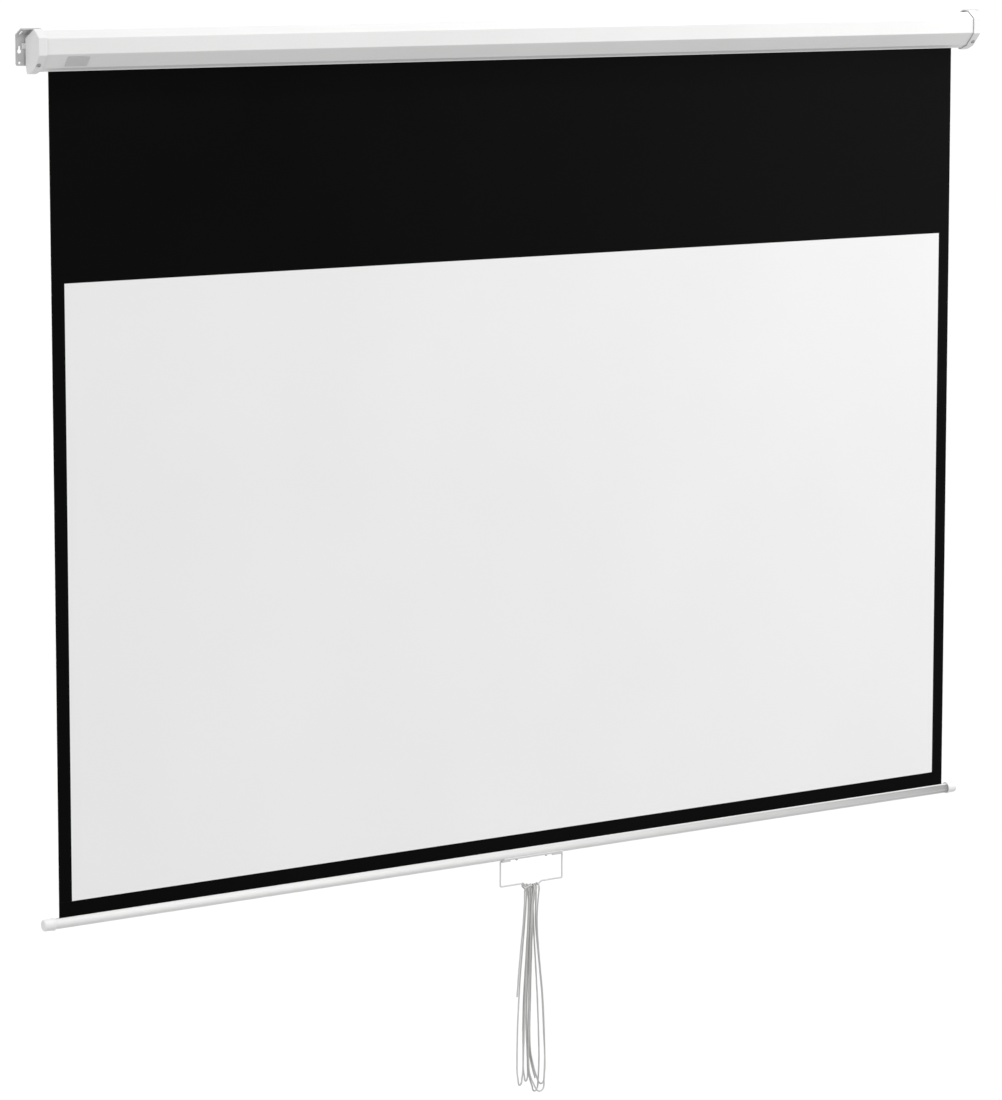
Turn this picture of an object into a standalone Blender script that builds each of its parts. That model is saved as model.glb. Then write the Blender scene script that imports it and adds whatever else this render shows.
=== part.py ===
"""Pull-down projector screen: faceted housing with a spring roller, a sheet, a round bottom bar,
a wire pull bail and a pull cord. Metres, +Z up. The wall is the plane Y = 0 and the front looks along -Y.
X = 0 is the middle of the screen, and Z = 0 is level with the brackets' keyholes."""

import math

import bmesh
import bpy
from mathutils import Matrix, Vector

MM = 0.001
GAP = 0.35  # mm left between pieces that touch

# Driving dimensions, in millimetres.
FABRIC_WIDTH = 1910.0
FABRIC_THICK = 0.4
VISIBLE_DROP = 1422.0
HEM_DROP = 25.0  # height of the lowest black border, which the bar carries
WALL_TO_FRONT = 51.5  # wall to the casing's front facet
CASING_HALF = 979.5
CASING_WALL = 1.3
CAP_INNER, CAP_OUTER = 976.5, 992.0
BRACKET_INNER, BRACKET_OUTER = 976.0, 1008.0
PLATE = 2.0
ROLLER_AXIS_DEPTH = 22.3  # behind the front facet
ROLLER_AXIS_Z = 4.0
ROLLER_R, ROLLER_WALL = 16.0, 1.2
WRAPPED_R = 16.45  # with the dead turns
BAR_R, BAR_WALL = 9.0, 1.2
BAR_HALF = 981.0
BAR_CAP_INNER, BAR_CAP_OUTER = 965.0, 985.5
BAIL_HALF, BAIL_DROP, BAIL_WIRE_R = 67.0, 46.5, 1.4
MOUNT_LOBE_X = 46.0, 64.0  # the two pivot lobes of the bail's mount
MOUNT_SCREW_X = 32.0
DIP_TOP, DIP_BOTTOM, DIP_DEPTH = 22.5, 11.5, 7.0
HANK_DROP = 374.0

# The casing's section as (depth behind the front facet, height), from the front lip round to the back lip.
CASING_SECTION = [
    (36.0, -34.2),
    (20.0, -27.7),
    (0.0, -4.9),
    (0.0, 21.9),
    (17.0, 34.6),
    (46.0, 20.0),
    (46.0, -20.0),
    (42.5, -34.2),
]
CASING_RADII = [1.8, 2.6, 2.6, 2.6, 3.0, 3.0, 2.6, 0.3]
LIP_UP = 4.6
# The end cap's outline stands a little proud of the casing all round.
CAP_SECTION = [
    (36.0, -37.3),
    (18.6, -30.2),
    (-2.5, -6.0),
    (-2.5, 23.4),
    (15.6, 37.6),
    (47.5, 21.4),
    (47.6, -20.5),
    (43.6, -37.3),
]
CAP_RADII = [2.6, 3.2, 3.6, 3.6, 3.6, 3.6, 3.0, 2.6]
ARC_STEPS = 3

# Values that follow from them.
AXIS_Y = -WALL_TO_FRONT + ROLLER_AXIS_DEPTH
AXIS_Z = ROLLER_AXIS_Z
FABRIC_FRONT = AXIS_Y + WRAPPED_R + 0.3
FABRIC_Y = FABRIC_FRONT + FABRIC_THICK / 2
LIP_Z = -34.2
BAR_Z = LIP_Z - VISIBLE_DROP - 1.0 - BAR_R
HEM_TOP = LIP_Z - VISIBLE_DROP + HEM_DROP
BAIL_Z = BAR_Z - BAR_R - 1.9
BAIL_LOW = BAIL_Z - BAIL_DROP
DIP_Z = BAIL_LOW - DIP_DEPTH


# ------------------------------------------------------------------ scene
for old in list(bpy.data.objects):
    bpy.data.objects.remove(old, do_unlink=True)


def material(name, colour, roughness, metallic=0.0):
    made = bpy.data.materials.new(name)
    made.use_nodes = True
    shader = made.node_tree.nodes["Principled BSDF"]
    shader.inputs["Base Color"].default_value = (*colour, 1.0)
    shader.inputs["Roughness"].default_value = roughness
    shader.inputs["Metallic"].default_value = metallic
    made.diffuse_color = (*colour, 1.0)
    return made


def axis_empty(name, x, y, z, parent=None):
    """An empty on a joint's axis, which carries the pieces that move on it."""
    made = bpy.data.objects.new(name, None)
    made.empty_display_size = 0.05
    bpy.context.scene.collection.objects.link(made)
    here = Vector((x, y, z)) * MM
    made.location = here
    if parent is not None:
        made.parent = parent
        made.location = here - Vector(parent["at"])
    made["at"] = tuple(here)
    return made


def add(name, mesh_data, mat, carrier=None, hide=False):
    """Makes an object from a bmesh in world millimetres, with its origin on its carrier's axis."""
    origin = Vector(carrier["at"]) if carrier is not None else Vector((0, 0, 0))
    for v in mesh_data.verts:
        v.co = v.co * MM - origin
    bmesh.ops.recalc_face_normals(mesh_data, faces=mesh_data.faces)
    data = bpy.data.meshes.new(name)
    mesh_data.to_mesh(data)
    mesh_data.free()
    data.shade_smooth()
    data.set_sharp_from_angle(angle=math.radians(32))
    made = bpy.data.objects.new(name, data)
    bpy.context.scene.collection.objects.link(made)
    if mat is not None:
        data.materials.append(mat)
    if carrier is not None:
        made.parent = carrier
    if hide:
        made.hide_render = True
        made.display_type = "WIRE"
    return made


def boolean(target, tool, operation):
    made = target.modifiers.new(operation.title() + "_" + tool.name, "BOOLEAN")
    made.operation = operation
    made.object = tool
    made.solver = "EXACT"


def cut(target, name, mesh_data, carrier=None):
    boolean(target, add(name, mesh_data, None, carrier, hide=True), "DIFFERENCE")


def join(target, name, mesh_data, carrier=None):
    boolean(target, add(name, mesh_data, None, carrier, hide=True), "UNION")


# ------------------------------------------------------------------ outlines
def rounded(corners, radii, steps=ARC_STEPS, closed=True):
    """The polygon with each corner replaced by an arc of its own radius."""
    out, n = [], len(corners)
    for i in range(n):
        here = Vector(corners[i])
        r = radii[i] if isinstance(radii, (list, tuple)) else radii
        if (not closed and i in (0, n - 1)) or r <= 0:
            out.append(here)
            continue
        before, after = Vector(corners[i - 1]), Vector(corners[(i + 1) % n])
        u, v = (before - here).normalized(), (after - here).normalized()
        half = math.acos(max(-1.0, min(1.0, u.dot(v)))) / 2
        reach = r / math.tan(half)
        centre = here + (u + v).normalized() * (r / math.sin(half))
        first, last = here + u * reach - centre, here + v * reach - centre
        turn = math.atan2(first.x * last.y - first.y * last.x, first.dot(last))
        for k in range(steps + 1):
            a = turn * k / steps
            c, s = math.cos(a), math.sin(a)
            out.append(
                centre + Vector((first.x * c - first.y * s, first.x * s + first.y * c))
            )
    return out


def grown(corners, distances):
    """The closed polygon with each edge moved outwards by its own distance."""
    pts = [Vector(p) for p in corners]
    n = len(pts)
    area = sum(
        pts[i].x * pts[(i + 1) % n].y - pts[(i + 1) % n].x * pts[i].y for i in range(n)
    )
    sign = 1.0 if area > 0 else -1.0
    lines = []
    for i in range(n):
        d = (pts[(i + 1) % n] - pts[i]).normalized()
        out = Vector((d.y, -d.x)) * sign
        far = distances[i] if isinstance(distances, (list, tuple)) else distances
        lines.append((pts[i] + out * far, d))
    made = []
    for i in range(n):
        (p, d), (q, e) = lines[i - 1], lines[i]
        cross = d.x * e.y - d.y * e.x
        t = ((q.x - p.x) * e.y - (q.y - p.y) * e.x) / cross
        made.append(p + d * t)
    return made


def strip(line, thick, side=1.0):
    """The closed outline between an open line and the same line moved sideways by thick."""
    pts = [Vector(p) for p in line]
    moved = []
    for i, here in enumerate(pts):
        d = []
        if i > 0:
            d.append((here - pts[i - 1]).normalized())
        if i < len(pts) - 1:
            d.append((pts[i + 1] - here).normalized())
        normals = [Vector((-v.y, v.x)) * side for v in d]
        mean = sum(normals, Vector((0, 0))).normalized()
        moved.append(here + mean * (thick / max(0.3, mean.dot(normals[0]))))
    return pts + moved[::-1]


def from_depth(points):
    """(depth, height) to (Y, Z)."""
    return [(p[0] - WALL_TO_FRONT, p[1]) for p in points]


# ------------------------------------------------------------------ solids
def loft(rings):
    """A closed solid through rings of points with the same count: quads between, a face at each end."""
    bm = bmesh.new()
    rows = [[bm.verts.new(p) for p in ring] for ring in rings]
    n = len(rows[0])
    for a, b in zip(rows, rows[1:]):
        for k in range(n):
            bm.faces.new((a[k], a[(k + 1) % n], b[(k + 1) % n], b[k]))
    bm.faces.new(rows[0])
    bm.faces.new(rows[-1][::-1])
    return bm


def along_x(outline, x0, x1):
    return loft([[(x, y, z) for y, z in outline] for x in (x0, x1)])


def along_y(outline, y0, y1):
    return loft([[(x, y, z) for x, z in outline] for y in (y0, y1)])


def block(x0, x1, y0, y1, z0, z1):
    return along_x([(y0, z0), (y1, z0), (y1, z1), (y0, z1)], x0, x1)


def turned(profile, segments, closed=False):
    """A profile of (along, radius) turned about local +X; a closed profile makes a ring."""
    bm = bmesh.new()
    rows = []
    for a, r in profile:
        if r <= 1e-6:
            rows.append([bm.verts.new((a, 0, 0))])
        else:
            rows.append(
                [
                    bm.verts.new(
                        (
                            a,
                            r * math.cos(2 * math.pi * k / segments),
                            r * math.sin(2 * math.pi * k / segments),
                        )
                    )
                    for k in range(segments)
                ]
            )
    pairs = list(zip(rows, rows[1:]))
    if closed:
        pairs.append((rows[-1], rows[0]))
    for a, b in pairs:
        for k in range(segments):
            m = (k + 1) % segments
            if len(a) == 1:
                bm.faces.new((a[0], b[m], b[k]))
            elif len(b) == 1:
                bm.faces.new((a[k], a[m], b[0]))
            else:
                bm.faces.new((a[k], a[m], b[m], b[k]))
    return bm


def placed(bm, at, direction=(1, 0, 0), roll=0.0):
    """Turns a solid made about local +X towards direction and moves it to a point."""
    d = Vector(direction).normalized()
    turn = Vector((1, 0, 0)).rotation_difference(d).to_matrix().to_4x4()
    bm.transform(
        Matrix.Translation(Vector(at)) @ turn @ Matrix.Rotation(roll, 4, "X")
    )
    return bm


def cross_prism(arm, width, a0, a1):
    """A plus-shaped prism about local +X, for a cross recess."""
    w = width / 2
    outline = [
        (-arm, -w), (-w, -w), (-w, -arm), (w, -arm), (w, -w), (arm, -w),
        (arm, w), (w, w), (w, arm), (-w, arm), (-w, w), (-arm, w),
    ]
    return along_x(outline, a0, a1)


def wire(name, points, radius, mat, carrier=None, resolution=2):
    """A round wire along points in world millimetres, as a curve with a bevel and filled caps."""
    origin = Vector(carrier["at"]) if carrier is not None else Vector((0, 0, 0))
    data = bpy.data.curves.new(name, "CURVE")
    data.dimensions = "3D"
    data.bevel_depth = radius * MM
    data.bevel_resolution = resolution
    data.use_fill_caps = True
    line = data.splines.new("POLY")
    line.points.add(len(points) - 1)
    for k, p in enumerate(points):
        line.points[k].co = (*(Vector(p) * MM - origin), 1.0)
    data.materials.append(mat)
    made = bpy.data.objects.new(name, data)
    bpy.context.scene.collection.objects.link(made)
    if carrier is not None:
        made.parent = carrier
    return made


# ------------------------------------------------------------------ materials
CASING_WHITE = material("casing_white", (0.80, 0.80, 0.80), 0.42)
CAP_GREY = material("cap_grey", (0.72, 0.72, 0.72), 0.5)
STEEL = material("zinc_steel", (0.56, 0.57, 0.58), 0.42, 0.9)
SCREW = material("screw_steel", (0.24, 0.24, 0.25), 0.38, 0.9)
LABEL = material("label_metal", (0.60, 0.61, 0.62), 0.34, 0.9)
NYLON = material("nylon", (0.82, 0.80, 0.74), 0.5)
SPRING = material("spring_steel", (0.30, 0.30, 0.31), 0.35, 0.9)
TUBE = material("roller_metal", (0.60, 0.60, 0.60), 0.4, 0.8)
SHEET = material("sheet_white", (0.80, 0.80, 0.80), 0.75)
BLACK = material("sheet_black", (0.01, 0.01, 0.01), 0.7)
BAR_WHITE = material("bar_white", (0.80, 0.80, 0.80), 0.4)
BAIL_WHITE = material("bail_white", (0.70, 0.70, 0.70), 0.4)
CORD = material("cord_grey", (0.45, 0.45, 0.44), 0.85)

# ------------------------------------------------------------------ joint axes
bar_axis = axis_empty("bar_slide_axis", 0, FABRIC_Y, BAR_Z)
roller_axis = axis_empty("roller_spin_axis", 0, AXIS_Y, AXIS_Z)
PAWL_PIVOT = (AXIS_Y + 9.5, AXIS_Z - 12.0)
pawl_axis = axis_empty("pawl_swing_axis", -970.75, *PAWL_PIVOT, parent=roller_axis)
bail_axis = axis_empty("bail_swing_axis", 0, FABRIC_Y, BAIL_Z, parent=bar_axis)
cord_axis = axis_empty("cord_swing_axis", 0, FABRIC_Y, DIP_Z, parent=bail_axis)

# ------------------------------------------------------------------ casing
lip_front = CASING_SECTION[0]
open_line = rounded(
    [(lip_front[0], lip_front[1] + LIP_UP)] + CASING_SECTION,
    [0] + CASING_RADII,
    closed=False,
)
casing_outline = strip(from_depth(open_line), CASING_WALL, side=-1.0)
add("casing", along_x(casing_outline, -CASING_HALF, CASING_HALF), CASING_WHITE)

# A bare metal plate near the left end of the lower front slope.
slope_a, slope_b = Vector(CASING_SECTION[2]), Vector(CASING_SECTION[1])
slope = (slope_b - slope_a).normalized()
outward = Vector((slope.y, -slope.x))
if outward.x > 0:
    outward = -outward
LABEL_LENGTH, LABEL_HEIGHT, LABEL_THICK = 40.5, 21.5, 0.9
label_low = slope_a + slope * 4.9 + outward * 0.3
label_outline = from_depth(
    [
        label_low,
        label_low + slope * LABEL_HEIGHT,
        label_low + slope * LABEL_HEIGHT + outward * LABEL_THICK,
        label_low + outward * LABEL_THICK,
    ]
)
add("label_plate", along_x(label_outline, -936.0, -936.0 + LABEL_LENGTH), LABEL)

# ------------------------------------------------------------------ end caps
cap_full = rounded(CAP_SECTION, CAP_RADII)
cap_mid = rounded(grown(CAP_SECTION, -0.8), [r - 0.4 for r in CAP_RADII])
cap_face = rounded(grown(CAP_SECTION, -2.0), [r - 1.0 for r in CAP_RADII])
socket = rounded(grown(CASING_SECTION, GAP), [r + GAP for r in CASING_RADII])
# The insert goes inside the casing and stops above its two lips.
INSERT_OUT = [-(CASING_WALL + 0.4)] * 7 + [-(LIP_UP + 1.0)]
INSERT_IN = [-(CASING_WALL + 2.1)] * 7 + [-(LIP_UP + 2.7)]
insert_out = rounded(grown(CASING_SECTION, INSERT_OUT), 1.0)
insert_in = rounded(grown(CASING_SECTION, INSERT_IN), 0.8)
CAP_RINGS = [
    (CAP_OUTER, cap_face),
    (CAP_OUTER - 0.6, cap_mid),
    (CAP_OUTER - 2.0, cap_full),
    (CAP_INNER, cap_full),
    (CAP_INNER, socket),
    (CASING_HALF + 0.4, socket),
    (CASING_HALF + 0.4, insert_out),
    (969.0, insert_out),
    (969.0, insert_in),
    (981.5, insert_in),
]
CAP_SCREW_AT = Vector(CAP_SECTION[2]) * 0.32 + Vector(CAP_SECTION[1]) * 0.68
CAP_SCREW_X = 985.6
BRACKET_SCREW_X, BRACKET_SCREW_Z = 985.6, 4.0


def build_end(side, name):
    sign = float(side)
    cap = add(
        "end_cap_" + name,
        loft(
            [
                [(sign * x, y, z) for y, z in from_depth(ring)]
                for x, ring in CAP_RINGS
            ]
        ),
        CAP_GREY,
    )
    # Pad behind the cap that meets the bracket, with a blind hole for its screw.
    join(
        cap,
        "cap_pad_" + name,
        along_x(
            [(-6.5, -8), (-PLATE - 0.35, -7), (-PLATE - 0.35, 15), (-6.5, 16)],
            sign * 979.6,
            sign * 990.6,
        ),
    )
    # Lug that reaches out of the pad and lies in front of the bracket, beside the keyhole's neck.
    join(
        cap,
        "cap_lug_" + name,
        along_x(
            rounded([(-6.2, 3.8), (-PLATE - 0.35, 3.8), (-PLATE - 0.35, 13.4), (-6.2, 13.4)], [1.2, 0, 0, 1.2]),
            sign * 985.0,
            sign * 997.8,
        ),
    )
    cut(
        cap,
        "cap_bore_" + name,
        placed(
            turned([(-1, 0), (-1, 2.3), (14, 2.3), (14, 0)], 16),
            (sign * BRACKET_SCREW_X, -PLATE + 0.5, BRACKET_SCREW_Z),
            (0, -1, 0),
        ),
    )
    # Counterbore and hole on the lower front slope for the cap's own screw.
    here = from_depth([CAP_SCREW_AT])[0]
    out3 = Vector((0, outward.x, outward.y))
    spot = Vector((sign * CAP_SCREW_X, *here))
    cut(
        cap,
        "cap_screw_hole_" + name,
        placed(
            turned([(-11.5, 0), (-11.5, 2.1), (-1.2, 2.1), (-1.2, 4.0), (4, 4.0), (4, 0)], 20),
            spot,
            out3,
        ),
    )
    screw = add(
        "cap_screw_" + name,
        placed(
            turned(
                [
                    (-10.8, 0), (-10.2, 0.9), (-9.0, 1.7), (-0.85, 1.7), (-0.85, 3.5),
                    (0.6, 3.5), (1.3, 2.7), (1.6, 1.5), (1.7, 0),
                ],
                20,
            ),
            spot,
            out3,
        ),
        SCREW,
    )
    cut(
        screw,
        "cap_screw_recess_" + name,
        placed(cross_prism(2.0, 0.9, 0.2, 3.0), spot, out3, math.radians(20)),
    )

    # Folded bracket: wall plate, slanted part and a short ceiling flange.
    fold = rounded(
        [(0.0, -24.0), (0.0, 27.6), (-20.0, 38.0), (-31.0, 38.0)],
        [0, 3.2, 3.2, 0],
        closed=False,
    )
    bracket = add(
        "bracket_" + name,
        along_x(strip(fold, PLATE, side=1.0), sign * BRACKET_INNER, sign * BRACKET_OUTER),
        STEEL,
    )
    hole_x = sign * (BRACKET_OUTER - 6.4)
    keyhole = [
        (hole_x + 3.8 * math.cos(a), 3.8 * math.sin(a))
        for a in [math.radians(120 + 300 * k / 18) for k in range(19)]
    ]
    keyhole += [
        (hole_x + 1.9 * math.cos(a), 7.0 + 1.9 * math.sin(a))
        for a in [math.radians(180 * k / 8) for k in range(9)]
    ]
    cut(bracket, "keyhole_" + name, along_y(keyhole, -5, 3))
    cut(
        bracket,
        "round_hole_" + name,
        placed(turned([(-4, 0), (-4, 2.15), (4, 2.15), (4, 0)], 16), (hole_x, -1, -19), (0, 1, 0)),
    )
    slant = Vector((0, 10.4, 20.0)).normalized()  # normal of the slanted part
    slot_mid = Vector((hole_x + sign * 0.6, -9.2, 32.4))
    slot_outline = [
        (1.95 * math.cos(a), 4.7 * s + 1.95 * math.sin(a))
        for s, a0 in ((1, 0), (-1, 180))
        for a in [math.radians(a0 + 180 * k / 6) for k in range(7)]
    ]
    slot_cutter = loft([[(a, p, q) for p, q in slot_outline] for a in (-5, 5)])
    slot_cutter.transform(
        Matrix.Translation(slot_mid)
        @ Matrix(
            (
                (slant.x, 1, 0, 0),
                (slant.y, 0, slant.z, 0),
                (slant.z, 0, -slant.y, 0),
                (0, 0, 0, 1),
            )
        )
    )
    cut(bracket, "slant_slot_" + name, slot_cutter)
    corner = [(sign * (BRACKET_OUTER + 1), -25), (sign * (BRACKET_OUTER - 4), -25)] + [
        (
            sign * (BRACKET_OUTER - 4 + 4 * math.cos(math.radians(a))),
            -20 + 4 * math.sin(math.radians(a)),
        )
        for a in (-90, -67.5, -45, -22.5, 0)
    ] + [(sign * (BRACKET_OUTER + 1), -20)]
    cut(bracket, "bracket_corner_" + name, along_y(corner, -5, 3))
    cut(
        bracket,
        "bracket_sink_" + name,
        placed(
            turned([(-3, 0), (-3, 4.3), (0.1, 4.3), (2.1, 2.3), (6, 2.3), (6, 0)], 20),
            (sign * BRACKET_SCREW_X, 0, BRACKET_SCREW_Z),
            (0, -1, 0),
        ),
    )
    sunk = add(
        "bracket_screw_" + name,
        placed(
            turned([(0.2, 0), (0.2, 3.75), (2.1, 1.9), (11.0, 1.9), (12.2, 0.8), (12.4, 0)], 20),
            (sign * BRACKET_SCREW_X, 0, BRACKET_SCREW_Z),
            (0, -1, 0),
        ),
        SCREW,
    )
    cut(
        sunk,
        "bracket_screw_recess_" + name,
        placed(
            cross_prism(1.9, 0.9, -1.0, 1.6),
            (sign * BRACKET_SCREW_X, 0, BRACKET_SCREW_Z),
            (0, -1, 0),
        ),
    )


build_end(-1, "left")
build_end(1, "right")

# ------------------------------------------------------------------ spring motor, fixed parts
# Slotted seat in the left cap that stops the shaft turning.
holder = add(
    "shaft_holder",
    placed(turned([(-981.15, 0), (-981.15, 8.5), (-975.6, 8.5), (-975.6, 0)], 32), (0, AXIS_Y, AXIS_Z)),
    STEEL,
)
cut(
    holder,
    "shaft_holder_slot",
    block(-980.0, -975.0, AXIS_Y - 1.9, AXIS_Y + 1.9, AXIS_Z - 4.4, AXIS_Z + 4.4),
)
shaft = add(
    "spring_shaft",
    placed(
        turned([(-975.3, 0), (-975.3, 3.0), (-590.6, 3.0), (-590, 2.4), (-590, 0)], 16),
        (0, AXIS_Y, AXIS_Z),
    ),
    STEEL,
)
join(
    shaft,
    "shaft_tongue",
    block(-979.6, -974.95, AXIS_Y - 1.5, AXIS_Y + 1.5, AXIS_Z - 4.0, AXIS_Z + 4.0),
)
HUB_R = 9.0
hub = add(
    "ratchet_hub",
    placed(
        turned(
            [(-974.6, 3.4), (-974.6, HUB_R), (-968.0, HUB_R), (-968.0, 3.4)], 32, closed=True
        ),
        (0, AXIS_Y, AXIS_Z),
    ),
    STEEL,
)
for k, (z0, z1) in enumerate(((-11.0, -6.3), (6.3, 11.0))):
    y0, y1 = (-2.1, 2.9) if k == 0 else (-2.9, 2.1)
    cut(
        hub,
        f"ratchet_notch_{k}",
        block(-976, -967, AXIS_Y + y0, AXIS_Y + y1, AXIS_Z + z0, AXIS_Z + z1),
    )
COILS, PER_COIL = 18, 8
spring_points = []
for k in range(COILS * PER_COIL + 1):
    a = 2 * math.pi * k / PER_COIL
    x = -922.0 + (317.0 * k) / (COILS * PER_COIL)
    spring_points.append((x, AXIS_Y + 9.0 * math.cos(a), AXIS_Z + 9.0 * math.sin(a)))
wire("torsion_spring", spring_points, 1.1, SPRING, resolution=1)
add(
    "bearing_bush",
    placed(
        turned([(968.4, 3.35), (968.4, 7.0), (970.4, 8.5), (981.15, 8.5), (981.15, 3.35)], 32, closed=True),
        (0, AXIS_Y, AXIS_Z),
    ),
    NYLON,
)

# ------------------------------------------------------------------ roller
HALF_ROLLER = 960.0
HALF_SHEET = FABRIC_WIDTH / 2
in_r = ROLLER_R - ROLLER_WALL
add(
    "roller_tube",
    placed(
        turned(
            [(-HALF_ROLLER, in_r), (-HALF_ROLLER, ROLLER_R), (HALF_ROLLER, ROLLER_R), (HALF_ROLLER, in_r)],
            40,
            closed=True,
        ),
        (0, AXIS_Y, AXIS_Z),
    ),
    TUBE,
    roller_axis,
)
wrap_in = (ROLLER_R + 0.12) / math.cos(math.pi / 40)
add(
    "fabric_wraps",
    placed(
        turned(
            [(-HALF_SHEET, wrap_in), (-HALF_SHEET, WRAPPED_R), (HALF_SHEET, WRAPPED_R), (HALF_SHEET, wrap_in)],
            40,
            closed=True,
        ),
        (0, AXIS_Y, AXIS_Z),
    ),
    BLACK,
    roller_axis,
)
plug_r = in_r * math.cos(math.pi / 40) - GAP
plug = add(
    "roller_plug_left",
    placed(
        turned(
            [
                (-966.9, 3.5), (-966.9, 16.8), (-966.2, 17.5), (-960.4, 17.5), (-960.4, plug_r),
                (-930.6, plug_r), (-930.0, plug_r - 0.8), (-930.0, 3.5),
            ],
            32,
            closed=True,
        ),
        (0, AXIS_Y, AXIS_Z),
    ),
    NYLON,
    roller_axis,
)
join(
    plug,
    "pawl_pin",
    placed(turned([(-974.4, 0), (-974.4, 1.5), (-965.5, 1.5), (-965.5, 0)], 16), (0, *PAWL_PIVOT)),
    roller_axis,
)
join(
    plug,
    "pawl_stop",
    placed(
        turned([(-973.5, 0), (-973.5, 1.1), (-965.5, 1.1), (-965.5, 0)], 12),
        (0, AXIS_Y + 1.2, AXIS_Z - 15.8),
    ),
    roller_axis,
)
add(
    "roller_plug_right",
    placed(
        turned(
            [
                (966.9, 3.4), (966.9, 16.8), (966.2, 17.5), (960.4, 17.5), (960.4, plug_r),
                (930.6, plug_r), (930.0, plug_r - 0.8), (930.0, 3.4),
            ],
            32,
            closed=True,
        ),
        (0, AXIS_Y, AXIS_Z),
    ),
    NYLON,
    roller_axis,
)
add(
    "roller_pin",
    placed(
        turned([(928.0, 0), (928.0, 3.0), (980.2, 3.0), (980.9, 2.3), (980.9, 0)], 20),
        (0, AXIS_Y, AXIS_Z),
    ),
    STEEL,
    roller_axis,
)
add(
    "spring_anchor",
    placed(
        turned([(-602.0, 3.5), (-602.0, plug_r), (-575.0, plug_r), (-575.0, 3.5)], 32, closed=True),
        (0, AXIS_Y, AXIS_Z),
    ),
    NYLON,
    roller_axis,
)

# The pawl lies below the hub, so gravity holds it off the notch until it is lifted in.
py, pz = PAWL_PIVOT
ay, az = AXIS_Y, AXIS_Z
pawl_outline = [
    (ay - 1.6, az - 9.5), (ay + 1.4, az - 9.5), (ay + 2.2, az - 10.9), (py - 2.6, az - 10.2),
] + [
    (py + 3.0 * math.cos(math.radians(a)), pz + 3.0 * math.sin(math.radians(a)))
    for a in (105, 75, 45, 15, -15, -45, -75, -105)
] + [(ay - 1.6, az - 14.3)]
pawl = add("pawl", along_x(pawl_outline, -973.9, -967.4), STEEL, pawl_axis)
cut(
    pawl,
    "pawl_bore",
    placed(turned([(-976, 0), (-976, 1.85), (-965, 1.85), (-965, 0)], 16), (0, py, pz)),
    pawl_axis,
)

# ------------------------------------------------------------------ sheet
TOP_OF_DROP = AXIS_Z
add(
    "screen_fabric",
    block(-HALF_SHEET, HALF_SHEET, FABRIC_FRONT, FABRIC_FRONT + FABRIC_THICK, HEM_TOP + 0.3, TOP_OF_DROP),
    SHEET,
)

# ------------------------------------------------------------------ bottom bar
SLOT_HALF = 1.5
slot_angle = math.asin(SLOT_HALF / BAR_R)
bar_line = [
    (
        FABRIC_Y + BAR_R * math.sin(slot_angle + (2 * math.pi - 2 * slot_angle) * k / 32),
        BAR_Z + BAR_R * math.cos(slot_angle + (2 * math.pi - 2 * slot_angle) * k / 32),
    )
    for k in range(33)
]
bar = add(
    "bottom_bar",
    along_x(strip(bar_line, BAR_WALL, side=-1.0), -BAR_HALF, BAR_HALF),
    BAR_WHITE,
    bar_axis,
)
# The hem goes down through the slot and round the rod inside the bar.
HEM_R = 2.7
hook = [(FABRIC_FRONT, HEM_TOP), (FABRIC_FRONT, BAR_Z + 3.2)]
hook += [
    (
        FABRIC_Y - HEM_R * math.cos(math.radians(a)),
        BAR_Z + HEM_R * math.sin(math.radians(a)),
    )
    for a in range(50, -221, -30)
]
hem_line = hook
add(
    "fabric_hem",
    along_x(strip(hem_line, FABRIC_THICK, side=1.0), -HALF_SHEET, HALF_SHEET),
    BLACK,
    bar_axis,
)
add(
    "hem_rod",
    placed(turned([(-950, 0), (-950, 1.9), (950, 1.9), (950, 0)], 12), (0, FABRIC_Y, BAR_Z)),
    STEEL,
    bar_axis,
)
CAP_PROFILE = [
    (BAR_CAP_OUTER, 0.0),
    (BAR_CAP_OUTER, 6.8),
    (BAR_CAP_OUTER - 0.7, 8.6),
    (BAR_CAP_OUTER - 2.2, 9.8),
    (968.7, 10.2),
    (968.1, 10.9),
    (965.6, 10.9),
    (BAR_CAP_INNER, 10.4),
    (BAR_CAP_INNER, 9.35),
    (BAR_HALF + 0.4, 9.35),
    (BAR_HALF + 0.4, 0.0),
]
for sign, name in ((-1, "left"), (1, "right")):
    add(
        "bar_cap_" + name,
        placed(turned([(sign * a, r) for a, r in CAP_PROFILE], 32), (0, FABRIC_Y, BAR_Z)),
        CAP_GREY,
        bar_axis,
    )

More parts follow.
